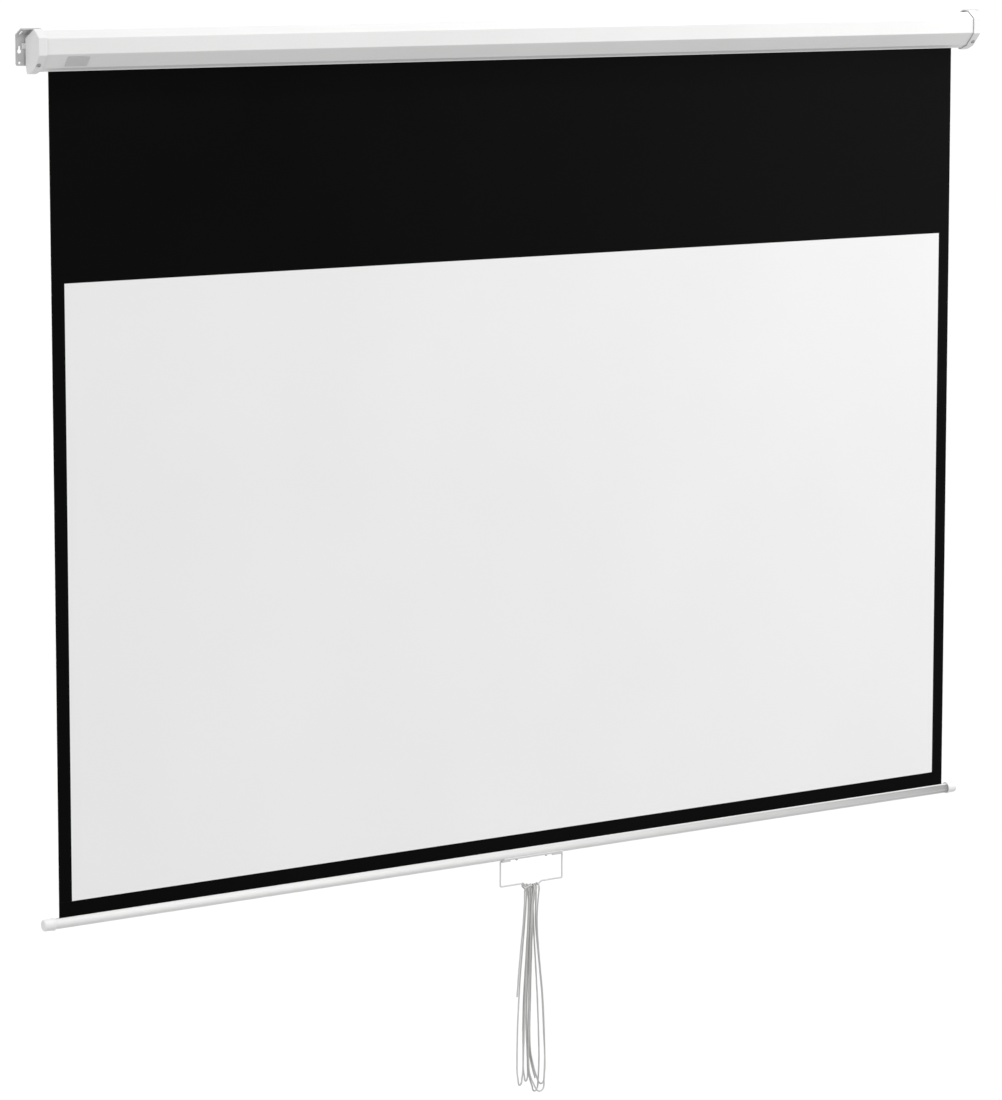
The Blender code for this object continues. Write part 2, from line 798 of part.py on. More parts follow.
# The bail's mount: a strip that hugs the bar's underside, with a lobe at each end for an arm of the bail.
MOUNT_IN, MOUNT_OUT = BAR_R + GAP, BAR_R + 1.6
mount_line = [
    (FABRIC_Y + MOUNT_IN * math.sin(math.radians(a)), BAR_Z - MOUNT_IN * math.cos(math.radians(a)))
    for a in range(-60, 61, 10)
]
mount = add(
    "bail_mount",
    along_x(strip(mount_line, MOUNT_OUT - MOUNT_IN, side=-1.0), -MOUNT_LOBE_X[1], MOUNT_LOBE_X[1]),
    CAP_GREY,
    bar_axis,
)
LOBE_R, LOBE_BORE = 2.6, 1.8
for sign, name in ((-1, "left"), (1, "right")):
    inner, outer = (sign * x for x in MOUNT_LOBE_X)
    join(
        mount,
        "lobe_" + name,
        placed(
            turned([(inner, 0), (inner, LOBE_R), (outer, LOBE_R), (outer, 0)], 20),
            (0, FABRIC_Y, BAIL_Z),
        ),
        bar_axis,
    )
    cut(
        mount,
        "lobe_bore_" + name,
        placed(
            turned(
                [(inner - sign, 0), (inner - sign, LOBE_BORE), (outer + sign, LOBE_BORE), (outer + sign, 0)], 16
            ),
            (0, FABRIC_Y, BAIL_Z),
        ),
        bar_axis,
    )
    cut(
        mount,
        "lobe_mouth_" + name,
        block(inner - sign, outer + sign, FABRIC_Y - 1.5, FABRIC_Y + 1.5, BAIL_Z, BAR_Z - BAR_R + 1),
        bar_axis,
    )
cut(
    mount,
    "mount_bed",
    placed(turned([(-70, 0), (-70, MOUNT_IN), (70, MOUNT_IN), (70, 0)], 72), (0, FABRIC_Y, BAR_Z)),
    bar_axis,
)
for sign, name in ((-1, "left"), (1, "right")):
    foot = (sign * MOUNT_SCREW_X, FABRIC_Y, BAR_Z - BAR_R)
    for target, label in ((mount, "mount"), (bar, "bar")):
        cut(
            target,
            "bail_screw_hole_" + label + "_" + name,
            placed(turned([(-3, 0), (-3, 1.75), (3, 1.75), (3, 0)], 16), foot, (0, 0, 1)),
            bar_axis,
        )
    add(
        "bail_screw_" + name,
        placed(
            turned(
                [
                    (-4.0, 0), (-3.8, 1.1), (-3.2, 1.9), (-2.3, 2.3), (-1.85, 2.3),
                    (-1.85, 1.35), (3.9, 1.35), (4.6, 0.6), (4.7, 0),
                ],
                20,
            ),
            foot,
            (0, 0, 1),
        ),
        SCREW,
        bar_axis,
    )

# ------------------------------------------------------------------ pull bail
half_path = [
    (MOUNT_LOBE_X[0] + 0.5, BAIL_Z),
    (BAIL_HALF, BAIL_Z),
    (BAIL_HALF, BAIL_LOW),
    (DIP_TOP, BAIL_LOW),
    (DIP_BOTTOM, DIP_Z),
]
corners = [(-x, z) for x, z in half_path] + [(x, z) for x, z in half_path[::-1]]
radii = [0, 3.0, 3.4, 2.6, 2.6, 2.6, 2.6, 3.4, 3.0, 0]
bail_points = [(p.x, FABRIC_Y, p.y) for p in rounded(corners, radii, steps=4, closed=False)]
wire("pull_bail", bail_points, BAIL_WIRE_R, BAIL_WHITE, bail_axis, resolution=2)

# ------------------------------------------------------------------ pull cord
add(
    "cord_wraps",
    placed(
        turned(
            [
                (-16.2, 6.0), (-16.2, 6.9), (-15.2, 7.5), (15.2, 7.5),
                (16.2, 6.9), (16.2, 6.0), (9.5, 1.85), (-9.5, 1.85),
            ],
            24,
            closed=True,
        ),
        (0, FABRIC_Y, DIP_Z),
    ),
    CORD,
    cord_axis,
)
hank_top, hank_low = DIP_Z - 7.9, DIP_Z - HANK_DROP
hank_outline = rounded(
    [
        (-14.5, hank_top), (14.5, hank_top), (29.5, hank_top - 250), (29.5, hank_low),
        (-29.5, hank_low), (-29.5, hank_top - 250),
    ],
    [4, 4, 80, 22, 22, 80],
)
add("cord_hank", along_y(hank_outline, FABRIC_Y - 8.0, FABRIC_Y + 8.0), CORD, cord_axis)
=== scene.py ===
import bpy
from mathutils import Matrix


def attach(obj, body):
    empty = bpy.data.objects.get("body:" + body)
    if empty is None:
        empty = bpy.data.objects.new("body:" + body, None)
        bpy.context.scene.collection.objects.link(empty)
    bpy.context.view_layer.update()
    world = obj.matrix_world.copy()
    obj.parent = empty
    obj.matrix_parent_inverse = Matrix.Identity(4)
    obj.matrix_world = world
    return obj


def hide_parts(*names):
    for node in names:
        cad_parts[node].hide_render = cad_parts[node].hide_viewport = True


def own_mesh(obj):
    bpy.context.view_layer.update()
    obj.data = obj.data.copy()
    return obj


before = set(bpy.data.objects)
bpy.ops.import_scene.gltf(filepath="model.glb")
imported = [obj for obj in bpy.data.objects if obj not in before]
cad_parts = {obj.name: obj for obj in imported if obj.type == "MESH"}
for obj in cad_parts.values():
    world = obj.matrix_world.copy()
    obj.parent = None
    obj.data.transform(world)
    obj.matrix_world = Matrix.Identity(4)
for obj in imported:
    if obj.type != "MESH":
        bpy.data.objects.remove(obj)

"""Looks of the pull-down projector screen: camera, cords, sheet, housing, bar, bail, finishes and light.
Lengths inside are millimetres, in the frame's own axes: the wall is Y = 0, the front looks along -Y."""

import math

import bmesh
import bpy
from mathutils import Matrix, Vector
from mathutils.kdtree import KDTree

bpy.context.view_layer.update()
MM = 0.001
GAP = 0.35

# ------------------------------------------------------------------ sizes shared with the construction
FABRIC_WIDTH, FABRIC_THICK = 1910.0, 0.4
VISIBLE_DROP, HEM_DROP = 1422.0, 25.0
WALL_TO_FRONT = 51.5
CASING_HALF, CASING_WALL, LIP_UP = 979.5, 1.3, 4.6
CAP_INNER, CAP_OUTER = 976.5, 992.0
BRACKET_INNER, BRACKET_OUTER, PLATE = 976.0, 1008.0, 2.0
AXIS_Y, AXIS_Z = -29.2, 4.0
FABRIC_FRONT = -12.45
FABRIC_Y = -12.25
LIP_Z = -34.2
BAR_R, BAR_WALL, BAR_HALF = 9.0, 1.2, 981.0
BAR_CAP_INNER, BAR_CAP_OUTER = 965.0, 985.5
BAR_Z = LIP_Z - VISIBLE_DROP - 1.0 - BAR_R
HEM_TOP = LIP_Z - VISIBLE_DROP + HEM_DROP
MOUNT_LOBE_X, MOUNT_SCREW_X = (46.0, 64.0), 32.0
BAIL_Z = BAR_Z - BAR_R - 1.9
BAIL_HALF, BAIL_WIRE_R = 67.0, 1.4
BAIL_LOW = BAIL_Z - 46.5
DIP_TOP, DIP_BOTTOM = 22.5, 11.5
DIP_Z = BAIL_LOW - 7.0
CASING_SECTION = [
    (36.0, -34.2), (20.0, -27.7), (0.0, -4.9), (0.0, 21.9),
    (17.0, 34.6), (46.0, 20.0), (46.0, -20.0), (42.5, -34.2),
]
CASING_RADII = [1.8, 2.6, 2.6, 2.6, 3.0, 3.0, 2.6, 0.3]
CAP_SECTION = [
    (36.0, -37.3), (18.6, -30.2), (-2.5, -6.0), (-2.5, 23.4),
    (15.6, 37.6), (47.5, 21.4), (47.6, -20.5), (43.6, -37.3),
]
CAP_RADII = [2.6, 1.5, 2.0, 2.0, 2.2, 3.6, 3.0, 2.6]

# ------------------------------------------------------------------ camera
lens = bpy.data.cameras.new("camera")
lens.sensor_width = 36.0
lens.lens = 133.48
lens.shift_y = -0.15
lens.clip_start, lens.clip_end = 0.1, 2000.0
camera = bpy.data.objects.new("camera", lens)
camera.location = (-4.009277, -6.037943, 0.255002)
camera.rotation_euler = (math.pi / 2 - 0.119700, 0.0, -0.579522)
bpy.context.scene.collection.objects.link(camera)
bpy.context.scene.camera = camera


# ------------------------------------------------------------------ outlines
def rounded(corners, radii, steps=8, closed=True):
    """The polygon with each corner replaced by an arc of its own radius."""
    out, n = [], len(corners)
    for i in range(n):
        here = Vector(corners[i])
        r = radii[i] if isinstance(radii, (list, tuple)) else radii
        if (not closed and i in (0, n - 1)) or r <= 0:
            out.append(here)
            continue
        before, after = Vector(corners[i - 1]), Vector(corners[(i + 1) % n])
        u, v = (before - here).normalized(), (after - here).normalized()
        half = math.acos(max(-1.0, min(1.0, u.dot(v)))) / 2
        reach = r / math.tan(half)
        centre = here + (u + v).normalized() * (r / math.sin(half))
        first, last = here + u * reach - centre, here + v * reach - centre
        turn = math.atan2(first.x * last.y - first.y * last.x, first.dot(last))
        for k in range(steps + 1):
            a = turn * k / steps
            c, s = math.cos(a), math.sin(a)
            out.append(
                centre + Vector((first.x * c - first.y * s, first.x * s + first.y * c))
            )
    return out


def grown(corners, distances):
    """The closed polygon with each edge moved outwards by its own distance."""
    pts = [Vector(p) for p in corners]
    n = len(pts)
    area = sum(
        pts[i].x * pts[(i + 1) % n].y - pts[(i + 1) % n].x * pts[i].y for i in range(n)
    )
    sign = 1.0 if area > 0 else -1.0
    lines = []
    for i in range(n):
        d = (pts[(i + 1) % n] - pts[i]).normalized()
        out = Vector((d.y, -d.x)) * sign
        far = distances[i] if isinstance(distances, (list, tuple)) else distances
        lines.append((pts[i] + out * far, d))
    made = []
    for i in range(n):
        (p, d), (q, e) = lines[i - 1], lines[i]
        cross = d.x * e.y - d.y * e.x
        t = ((q.x - p.x) * e.y - (q.y - p.y) * e.x) / cross
        made.append(p + d * t)
    return made


def strip(line, thick, side=1.0):
    """The closed outline between an open line and the same line moved sideways by thick."""
    pts = [Vector(p) for p in line]
    moved = []
    for i, here in enumerate(pts):
        d = []
        if i > 0:
            d.append((here - pts[i - 1]).normalized())
        if i < len(pts) - 1:
            d.append((pts[i + 1] - here).normalized())
        normals = [Vector((-v.y, v.x)) * side for v in d]
        mean = sum(normals, Vector((0, 0))).normalized()
        moved.append(here + mean * (thick / max(0.3, mean.dot(normals[0]))))
    return pts + moved[::-1]


def from_depth(points):
    """(depth, height) to (Y, Z)."""
    return [(p[0] - WALL_TO_FRONT, p[1]) for p in points]


def spline(points, step):
    """Points about step apart on a centripetal Catmull-Rom curve through the given ones."""
    pts = [Vector(p) for p in points]
    pts = [pts[0] * 2 - pts[1]] + pts + [pts[-1] * 2 - pts[-2]]
    out = []
    for i in range(1, len(pts) - 2):
        a, b, c, d = pts[i - 1 : i + 3]
        t0 = 0.0
        t1 = t0 + max(1e-6, (b - a).length) ** 0.5
        t2 = t1 + max(1e-6, (c - b).length) ** 0.5
        t3 = t2 + max(1e-6, (d - c).length) ** 0.5
        n = max(2, math.ceil((c - b).length / (step * 0.25)))
        for k in range(n):
            t = t1 + (t2 - t1) * k / n
            e = a * ((t1 - t) / (t1 - t0)) + b * ((t - t0) / (t1 - t0))
            f = b * ((t2 - t) / (t2 - t1)) + c * ((t - t1) / (t2 - t1))
            g = c * ((t3 - t) / (t3 - t2)) + d * ((t - t2) / (t3 - t2))
            h = e * ((t2 - t) / (t2 - t0)) + f * ((t - t0) / (t2 - t0))
            j = f * ((t3 - t) / (t3 - t1)) + g * ((t - t1) / (t3 - t1))
            out.append(h * ((t2 - t) / (t2 - t1)) + j * ((t - t1) / (t2 - t1)))
    out.append(pts[-2])
    return evenly(out, step)


def evenly(points, step):
    """The same line with points spaced evenly, about step apart."""
    along = [0.0]
    for p, q in zip(points, points[1:]):
        along.append(along[-1] + (q - p).length)
    n = max(2, round(along[-1] / step))
    out, i = [], 0
    for k in range(n + 1):
        s = along[-1] * k / n
        while i < len(along) - 2 and along[i + 1] < s:
            i += 1
        room = max(1e-9, along[i + 1] - along[i])
        out.append(points[i].lerp(points[i + 1], (s - along[i]) / room))
    return out


# ------------------------------------------------------------------ solids
def loft(rings):
    bm = bmesh.new()
    rows = [[bm.verts.new(p) for p in ring] for ring in rings]
    n = len(rows[0])
    for a, b in zip(rows, rows[1:]):
        for k in range(n):
            bm.faces.new((a[k], a[(k + 1) % n], b[(k + 1) % n], b[k]))
    bm.faces.new(rows[0])
    bm.faces.new(rows[-1][::-1])
    return bm


def along_x(outline, x0, x1):
    return loft([[(x, y, z) for y, z in outline] for x in (x0, x1)])


def along_y(outline, y0, y1):
    return loft([[(x, y, z) for x, z in outline] for y in (y0, y1)])


def block(x0, x1, y0, y1, z0, z1):
    return along_x([(y0, z0), (y1, z0), (y1, z1), (y0, z1)], x0, x1)


def turned(profile, segments, closed=False):
    """A profile of (along, radius) turned about local +X; a closed profile makes a ring."""
    bm = bmesh.new()
    rows = []
    for a, r in profile:
        if r <= 1e-6:
            rows.append([bm.verts.new((a, 0, 0))])
        else:
            rows.append(
                [
                    bm.verts.new(
                        (
                            a,
                            r * math.cos(2 * math.pi * k / segments),
                            r * math.sin(2 * math.pi * k / segments),
                        )
                    )
                    for k in range(segments)
                ]
            )
    pairs = list(zip(rows, rows[1:]))
    if closed:
        pairs.append((rows[-1], rows[0]))
    for a, b in pairs:
        for k in range(segments):
            m = (k + 1) % segments
            if len(a) == 1:
                bm.faces.new((a[0], b[m], b[k]))
            elif len(b) == 1:
                bm.faces.new((a[k], a[m], b[0]))
            else:
                bm.faces.new((a[k], a[m], b[m], b[k]))
    return bm


def placed(bm, at, direction=(1, 0, 0), roll=0.0):
    d = Vector(direction).normalized()
    turn = Vector((1, 0, 0)).rotation_difference(d).to_matrix().to_4x4()
    bm.transform(
        Matrix.Translation(Vector(at)) @ turn @ Matrix.Rotation(roll, 4, "X")
    )
    return bm


def cross_prism(arm, width, a0, a1, taper=1.0):
    """A plus-shaped prism about local +X, narrower at a0 by taper."""
    w = width / 2
    outline = [
        (-arm, -w), (-w, -w), (-w, -arm), (w, -arm), (w, -w), (arm, -w),
        (arm, w), (w, w), (w, arm), (-w, arm), (-w, w), (-arm, w),
    ]
    return loft(
        [
            [(a0, y * taper, z * taper) for y, z in outline],
            [(a1, y, z) for y, z in outline],
        ]
    )


def temporary(bm, name):
    bmesh.ops.recalc_face_normals(bm, faces=bm.faces)
    data = bpy.data.meshes.new(name)
    bm.to_mesh(data)
    bm.free()
    made = bpy.data.objects.new(name, data)
    bpy.context.scene.collection.objects.link(made)
    return made


def carved(bm, cutters, joined=()):
    """The solid with others joined to it and cut out of it."""
    base = temporary(bm, "carve_base")
    tools = []
    for kind, group in (("UNION", joined), ("DIFFERENCE", cutters)):
        for tool_bm in group:
            tool = temporary(tool_bm, "carve_tool")
            tools.append(tool)
            made = base.modifiers.new("carve", "BOOLEAN")
            made.operation, made.object, made.solver = kind, tool, "EXACT"
    bpy.context.view_layer.update()
    depsgraph = bpy.context.evaluated_depsgraph_get()
    mesh = bpy.data.meshes.new_from_object(base.evaluated_get(depsgraph))
    out = bmesh.new()
    out.from_mesh(mesh)
    for o in [base, *tools]:
        data = o.data
        bpy.data.objects.remove(o, do_unlink=True)
        bpy.data.meshes.remove(data)
    bpy.data.meshes.remove(mesh)
    return out


def softened(bm, width, angle=40.0, segments=2):
    """Rounds every edge sharper than an angle."""
    edges = [
        e
        for e in bm.edges
        if len(e.link_faces) == 2 and e.calc_face_angle(0.0) > math.radians(angle)
    ]
    bmesh.ops.bevel(
        bm, geom=edges, offset=width, offset_type="OFFSET", segments=segments,
        profile=0.5, affect="EDGES", clamp_overlap=True,
    )
    bmesh.ops.remove_doubles(bm, verts=bm.verts, dist=1e-4)
    return bm


def tube(points, radius, sides, cap_steps=4):
    """A round tube along points, with domed ends and UVs: u runs with the length in metres, v once round."""
    pts = [Vector(p) for p in points]
    n = len(pts)
    tangents = [
        (pts[min(n - 1, i + 1)] - pts[max(0, i - 1)]).normalized() for i in range(n)
    ]
    side = tangents[0].orthogonal().normalized()
    rings = []
    along = 0.0
    for i in range(n):
        if i:
            side = tangents[i - 1].rotation_difference(tangents[i]) @ side
            along += (pts[i] - pts[i - 1]).length
        side = (side - tangents[i] * side.dot(tangents[i])).normalized()
        rings.append((pts[i], tangents[i], side.copy(), radius, along))
    p, t, s, r, a = rings[0]
    first = [
        (p - t * (r * 0.7 * math.sin(w)), t, s, r * math.cos(w), a - r * 0.7 * math.sin(w))
        for w in [math.pi / 2 * k / cap_steps * 0.97 for k in range(cap_steps, 0, -1)]
    ]
    p, t, s, r, a = rings[-1]
    last = [
        (p + t * (r * 0.7 * math.sin(w)), t, s, r * math.cos(w), a + r * 0.7 * math.sin(w))
        for w in [math.pi / 2 * k / cap_steps * 0.97 for k in range(1, cap_steps + 1)]
    ]
    rings = first + rings + last
    bm = bmesh.new()
    uv = bm.loops.layers.uv.new("UVMap")
    rows = []
    for p, t, s, r, a in rings:
        other = t.cross(s)
        rows.append(
            [
                bm.verts.new(
                    p
                    + s * (r * math.cos(2 * math.pi * k / sides))
                    + other * (r * math.sin(2 * math.pi * k / sides))
                )
                for k in range(sides)
            ]
        )
    for i in range(len(rows) - 1):
        for k in range(sides):
            m = (k + 1) % sides
            face = bm.faces.new((rows[i][k], rows[i][m], rows[i + 1][m], rows[i + 1][k]))
            for loop, (u, v) in zip(
                face.loops,
                (
                    (rings[i][4], k / sides),
                    (rings[i][4], (k + 1) / sides),
                    (rings[i + 1][4], (k + 1) / sides),
                    (rings[i + 1][4], k / sides),
                ),
            ):
                loop[uv].uv = (u * MM, v)
    bm.faces.new(rows[0][::-1])
    bm.faces.new(rows[-1])
    return bm


def piece(name, bm, materials, body, replaces=(), sharp=34.0, weighted=True):
    """Makes a shown piece from a bmesh in millimetres, riding on a body."""
    for v in bm.verts:
        v.co = v.co * MM
    bmesh.ops.recalc_face_normals(bm, faces=bm.faces)
    data = bpy.data.meshes.new(name)
    bm.to_mesh(data)
    bm.free()
    data.shade_smooth()
    data.set_sharp_from_angle(angle=math.radians(sharp))
    made = bpy.data.objects.new(name, data)
    bpy.context.scene.collection.objects.link(made)
    for m in materials if isinstance(materials, (list, tuple)) else [materials]:
        data.materials.append(m)
    if weighted:
        normal = made.modifiers.new("even_normals", "WEIGHTED_NORMAL")
        normal.keep_sharp = True
        normal.weight = 60
    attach(made, body)
    if replaces:
        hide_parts(*replaces)
    return made


# ------------------------------------------------------------------ finishes
class Tree:
    """A material's node tree, with short calls to add nodes."""

    def __init__(self, name):
        self.material = bpy.data.materials.new(name)
        self.material.use_nodes = True
        self.tree = self.material.node_tree
        self.shader = self.tree.nodes["Principled BSDF"]

    def node(self, kind, **values):
        made = self.tree.nodes.new(kind)
        for key, value in values.items():
            if hasattr(made, key):
                setattr(made, key, value)
            else:
                made.inputs[key].default_value = value
        return made

    def link(self, a, b):
        self.tree.links.new(a, b)

    def place(self, scale=(1, 1, 1), rotation=(0, 0, 0)):
        """Object coordinates in metres, stretched."""
        coords = self.node("ShaderNodeTexCoord")
        mapping = self.node("ShaderNodeMapping")
        mapping.inputs["Scale"].default_value = scale
        mapping.inputs["Rotation"].default_value = rotation
        self.link(coords.outputs["Object"], mapping.inputs["Vector"])
        return mapping.outputs["Vector"]

    def noise(self, vector, scale, detail=2.0, rough=0.5):
        made = self.node("ShaderNodeTexNoise")
        made.inputs["Scale"].default_value = scale
        made.inputs["Detail"].default_value = detail
        made.inputs["Roughness"].default_value = rough
        self.link(vector, made.inputs["Vector"])
        return made.outputs["Fac"]

    def math(self, operation, a, b=None):
        made = self.node("ShaderNodeMath")
        made.operation = operation
        for i, value in enumerate((a, b)):
            if value is None:
                continue
            if isinstance(value, (int, float)):
                made.inputs[i].default_value = value
            else:
                self.link(value, made.inputs[i])
        return made.outputs[0]

    def span(self, value, low, high, at=(0.0, 1.0)):
        made = self.node("ShaderNodeMapRange")
        made.inputs["From Min"].default_value = at[0]
        made.inputs["From Max"].default_value = at[1]
        made.inputs["To Min"].default_value = low
        made.inputs["To Max"].default_value = high
        self.link(value, made.inputs["Value"])
        return made.outputs["Result"]

    def colours(self, value, stops):
        made = self.node("ShaderNodeValToRGB")
        ramp = made.color_ramp
        while len(ramp.elements) < len(stops):
            ramp.elements.new(0.5)
        for element, (at, colour) in zip(ramp.elements, stops):
            element.position = at
            element.color = (*colour, 1.0)
        self.link(value, made.inputs["Fac"])
        return made.outputs["Color"]

    def bump(self, height, strength, distance, before=None):
        made = self.node("ShaderNodeBump")
        made.inputs["Strength"].default_value = strength
        made.inputs["Distance"].default_value = distance
        self.link(height, made.inputs["Height"])
        if before is not None:
            self.link(before, made.inputs["Normal"])
        return made.outputs["Normal"]

    def finish(self, colour=None, rough=None, normal=None, **fixed):
        for key, value in fixed.items():
            self.shader.inputs[key.replace("_", " ")].default_value = value
        for output, socket in ((colour, "Base Color"), (rough, "Roughness"), (normal, "Normal")):
            if output is not None:
                self.link(output, self.shader.inputs[socket])
        return self.material


def grey(value, tint=(1.0, 1.0, 1.0)):
    return tuple(value * t for t in tint)


def painted(name, value, rough, grain=900.0, grain_depth=0.00004, tint=(1.0, 1.0, 0.995)):
    """Sprayed or powder-coated paint: faint cloudiness, orange peel and a little uneven gloss."""
    t = Tree(name)
    at = t.place()
    clouds = t.noise(at, 6.0, 4.0)
    speck = t.noise(at, 240.0, 3.0)
    both = t.math("ADD", t.math("MULTIPLY", clouds, 0.7), t.math("MULTIPLY", speck, 0.3))
    colour = t.colours(both, [(0.3, grey(value * 0.975, tint)), (0.7, grey(value * 1.02, tint))])
    gloss = t.span(t.noise(at, 35.0, 3.0), rough - 0.05, rough + 0.06, (0.25, 0.75))
    normal = t.bump(t.noise(at, grain, 2.0), 0.35, grain_depth)
    return t.finish(colour, gloss, normal, Metallic=0.0)


def moulded(name, value, rough):
    """Moulded plastic with a fine spark-eroded grain."""
    t = Tree(name)
    at = t.place()
    colour = t.colours(
        t.noise(at, 18.0, 3.0), [(0.3, grey(value * 0.98)), (0.7, grey(value * 1.015))]
    )
    grain = t.node("ShaderNodeTexVoronoi")
    grain.inputs["Scale"].default_value = 1500.0
    t.link(at, grain.inputs["Vector"])
    normal = t.bump(grain.outputs["Distance"], 0.3, 0.00005)
    gloss = t.span(t.noise(at, 60.0, 2.0), rough - 0.04, rough + 0.05, (0.25, 0.75))
    return t.finish(colour, gloss, normal, Metallic=0.0)


def plated(name, value, rough, spangle=0.06):
    """Zinc-plated steel: faint crystal patches and rolling lines."""
    t = Tree(name)
    at = t.place()
    cells = t.node("ShaderNodeTexVoronoi")
    cells.inputs["Scale"].default_value = 260.0
    t.link(at, cells.inputs["Vector"])
    patches = t.node("ShaderNodeSeparateColor")
    t.link(cells.outputs["Color"], patches.inputs["Color"])
    rolled = t.noise(t.place((60.0, 900.0, 900.0)), 1.0, 3.0)
    mixed = t.math(
        "ADD",
        t.math("MULTIPLY", patches.outputs[0], 0.5),
        t.math("MULTIPLY", rolled, 0.5),
    )
    colour = t.colours(
        mixed,
        [
            (0.2, grey(value * (1 - spangle), (0.995, 1.0, 1.01))),
            (0.8, grey(value * (1 + spangle), (1.0, 1.0, 0.99))),
        ],
    )
    gloss = t.span(mixed, rough - 0.07, rough + 0.08, (0.2, 0.8))
    normal = t.bump(rolled, 0.25, 0.00003)
    return t.finish(colour, gloss, normal, Metallic=0.75)


def brushed(name, value, rough):
    """Bare aluminium sheet brushed along the housing."""
    t = Tree(name)
    at = t.place((14.0, 2600.0, 2600.0))
    hair = t.noise(at, 1.0, 4.0, 0.65)
    colour = t.colours(
        hair,
        [(0.3, grey(value * 0.9, (0.99, 1.0, 1.0))), (0.7, grey(value * 1.07, (1.0, 1.0, 0.995)))],
    )
    gloss = t.span(hair, rough - 0.08, rough + 0.1, (0.25, 0.75))
    normal = t.bump(hair, 0.4, 0.00003)
    return t.finish(colour, gloss, normal, Metallic=0.8, Anisotropic=0.5)


def vinyl(name, stops, rough, specular, weave_depth):
    """Coated cloth: the weave under the coat shows as a fine even grid."""
    t = Tree(name)
    at = t.place()
    split = t.node("ShaderNodeSeparateXYZ")
    t.link(at, split.inputs["Vector"])
    pitch = 2 * math.pi / 0.00075
    across = t.math("SINE", t.math("MULTIPLY", split.outputs["X"], pitch))
    down = t.math("SINE", t.math("MULTIPLY", split.outputs["Z"], pitch))
    weave = t.math("MULTIPLY", across, down)
    clouds = t.noise(at, 3.0, 3.0)
    colour = t.colours(clouds, stops)
    fibre = t.noise(at, 1800.0, 2.0)
    height = t.math("ADD", t.math("MULTIPLY", weave, 0.5), fibre)
    gloss = t.span(clouds, rough - 0.03, rough + 0.03, (0.3, 0.7))
    normal = t.bump(height, 0.35, weave_depth)
    return t.finish(colour, gloss, normal, Metallic=0.0, Specular_IOR_Level=specular)


def braided(name, low, high):
    """Braided cord: two sets of strands that cross as they wind round it."""
    t = Tree(name)
    coords = t.node("ShaderNodeTexCoord")
    split = t.node("ShaderNodeSeparateXYZ")
    t.link(coords.outputs["UV"], split.inputs["Vector"])
    along = t.math("MULTIPLY", split.outputs["X"], 2 * math.pi / 0.0042)
    around = t.math("MULTIPLY", split.outputs["Y"], 2 * math.pi * 4)
    one = t.math("SINE", t.math("ADD", around, along))
    two = t.math("SINE", t.math("SUBTRACT", around, along))
    cells = t.math("MAXIMUM", one, two)
    fibre = t.noise(t.place(), 2500.0, 2.0)
    worn = t.noise(t.place(), 45.0, 3.0)
    tone = t.math(
        "ADD",
        t.math("MULTIPLY", t.span(cells, 0.0, 1.0, (-0.4, 1.0)), 0.6),
        t.math("MULTIPLY", worn, 0.4),
    )
    colour = t.colours(tone, [(0.15, low), (0.85, high)])
    normal = t.bump(fibre, 0.3, 0.0001, t.bump(cells, 0.8, 0.0003))
    return t.finish(colour, None, normal, Metallic=0.0, Roughness=0.85, Sheen_Weight=0.15, Sheen_Roughness=0.5)


CASING_WHITE = painted("casing_white", 0.72, 0.42)
CAP_WHITE = moulded("cap_white", 0.71, 0.5)
BAR_WHITE = painted("bar_white", 0.69, 0.62, 1100.0, 0.00003)
BAIL_WHITE = painted("bail_white", 0.54, 0.45, 500.0, 0.00006)
ZINC = plated("zinc_steel", 0.62, 0.5)
SCREW_STEEL = plated("screw_steel", 0.42, 0.36, 0.1)
SPRING_STEEL = plated("spring_steel", 0.30, 0.34, 0.1)
ROLLER_METAL = plated("roller_metal", 0.55, 0.4, 0.03)
LABEL_METAL = brushed("label_metal", 0.66, 0.42)
NYLON = moulded("nylon", 0.6, 0.5)
SHEET_WHITE = vinyl(
    "sheet_white", [(0.3, (0.735, 0.735, 0.735)), (0.7, (0.75, 0.75, 0.75))], 0.72, 0.25, 0.00002
)
SHEET_BLACK = vinyl(
    "sheet_black", [(0.3, (0.0012, 0.0012, 0.0012)), (0.7, (0.0017, 0.0017, 0.0017))], 0.42, 0.038, 0.00002
)
SHEET_BACK = vinyl(
    "sheet_back", [(0.3, (0.010, 0.010, 0.010)), (0.7, (0.014, 0.014, 0.014))], 0.7, 0.1, 0.00004
)
CORD_GREY = braided("cord_grey", (0.36, 0.36, 0.355), (0.60, 0.60, 0.59))

# ------------------------------------------------------------------ pull cord
# Strands are given as (height, X seen from the front left). Seen from there, a strand that lies v behind
# the dip's plane is shifted by a share of v both ways, so the shift is put in here.
CORD_R = 1.4
SHIFT_X = 0.665


def seen(x, z, v):
    """The point v behind the dip's plane that shows where (x, z) of that plane does."""
    return (x + SHIFT_X * v, FABRIC_Y + v, z + v * (z - 255.0) / 6026.0)


def dip_height(x):
    """Height of the bail wire's centre in its dip."""
    share = min(1.0, max(0.0, (abs(x) - 11.5) / 11.0))
    return DIP_Z + (BAIL_LOW - DIP_Z) * share


def strand(points, v_top, v_low, top=-1546.0, low=-1620.0):
    """Points down a strand; its depth goes from v_top to v_low between two heights."""
    out = []
    for z, x in points:
        share = min(1.0, max(0.0, (top - z) / (top - low)))
        share = share * share * (3 - 2 * share)
        out.append(seen(x, z, v_top + (v_low - v_top) * share))
    return out


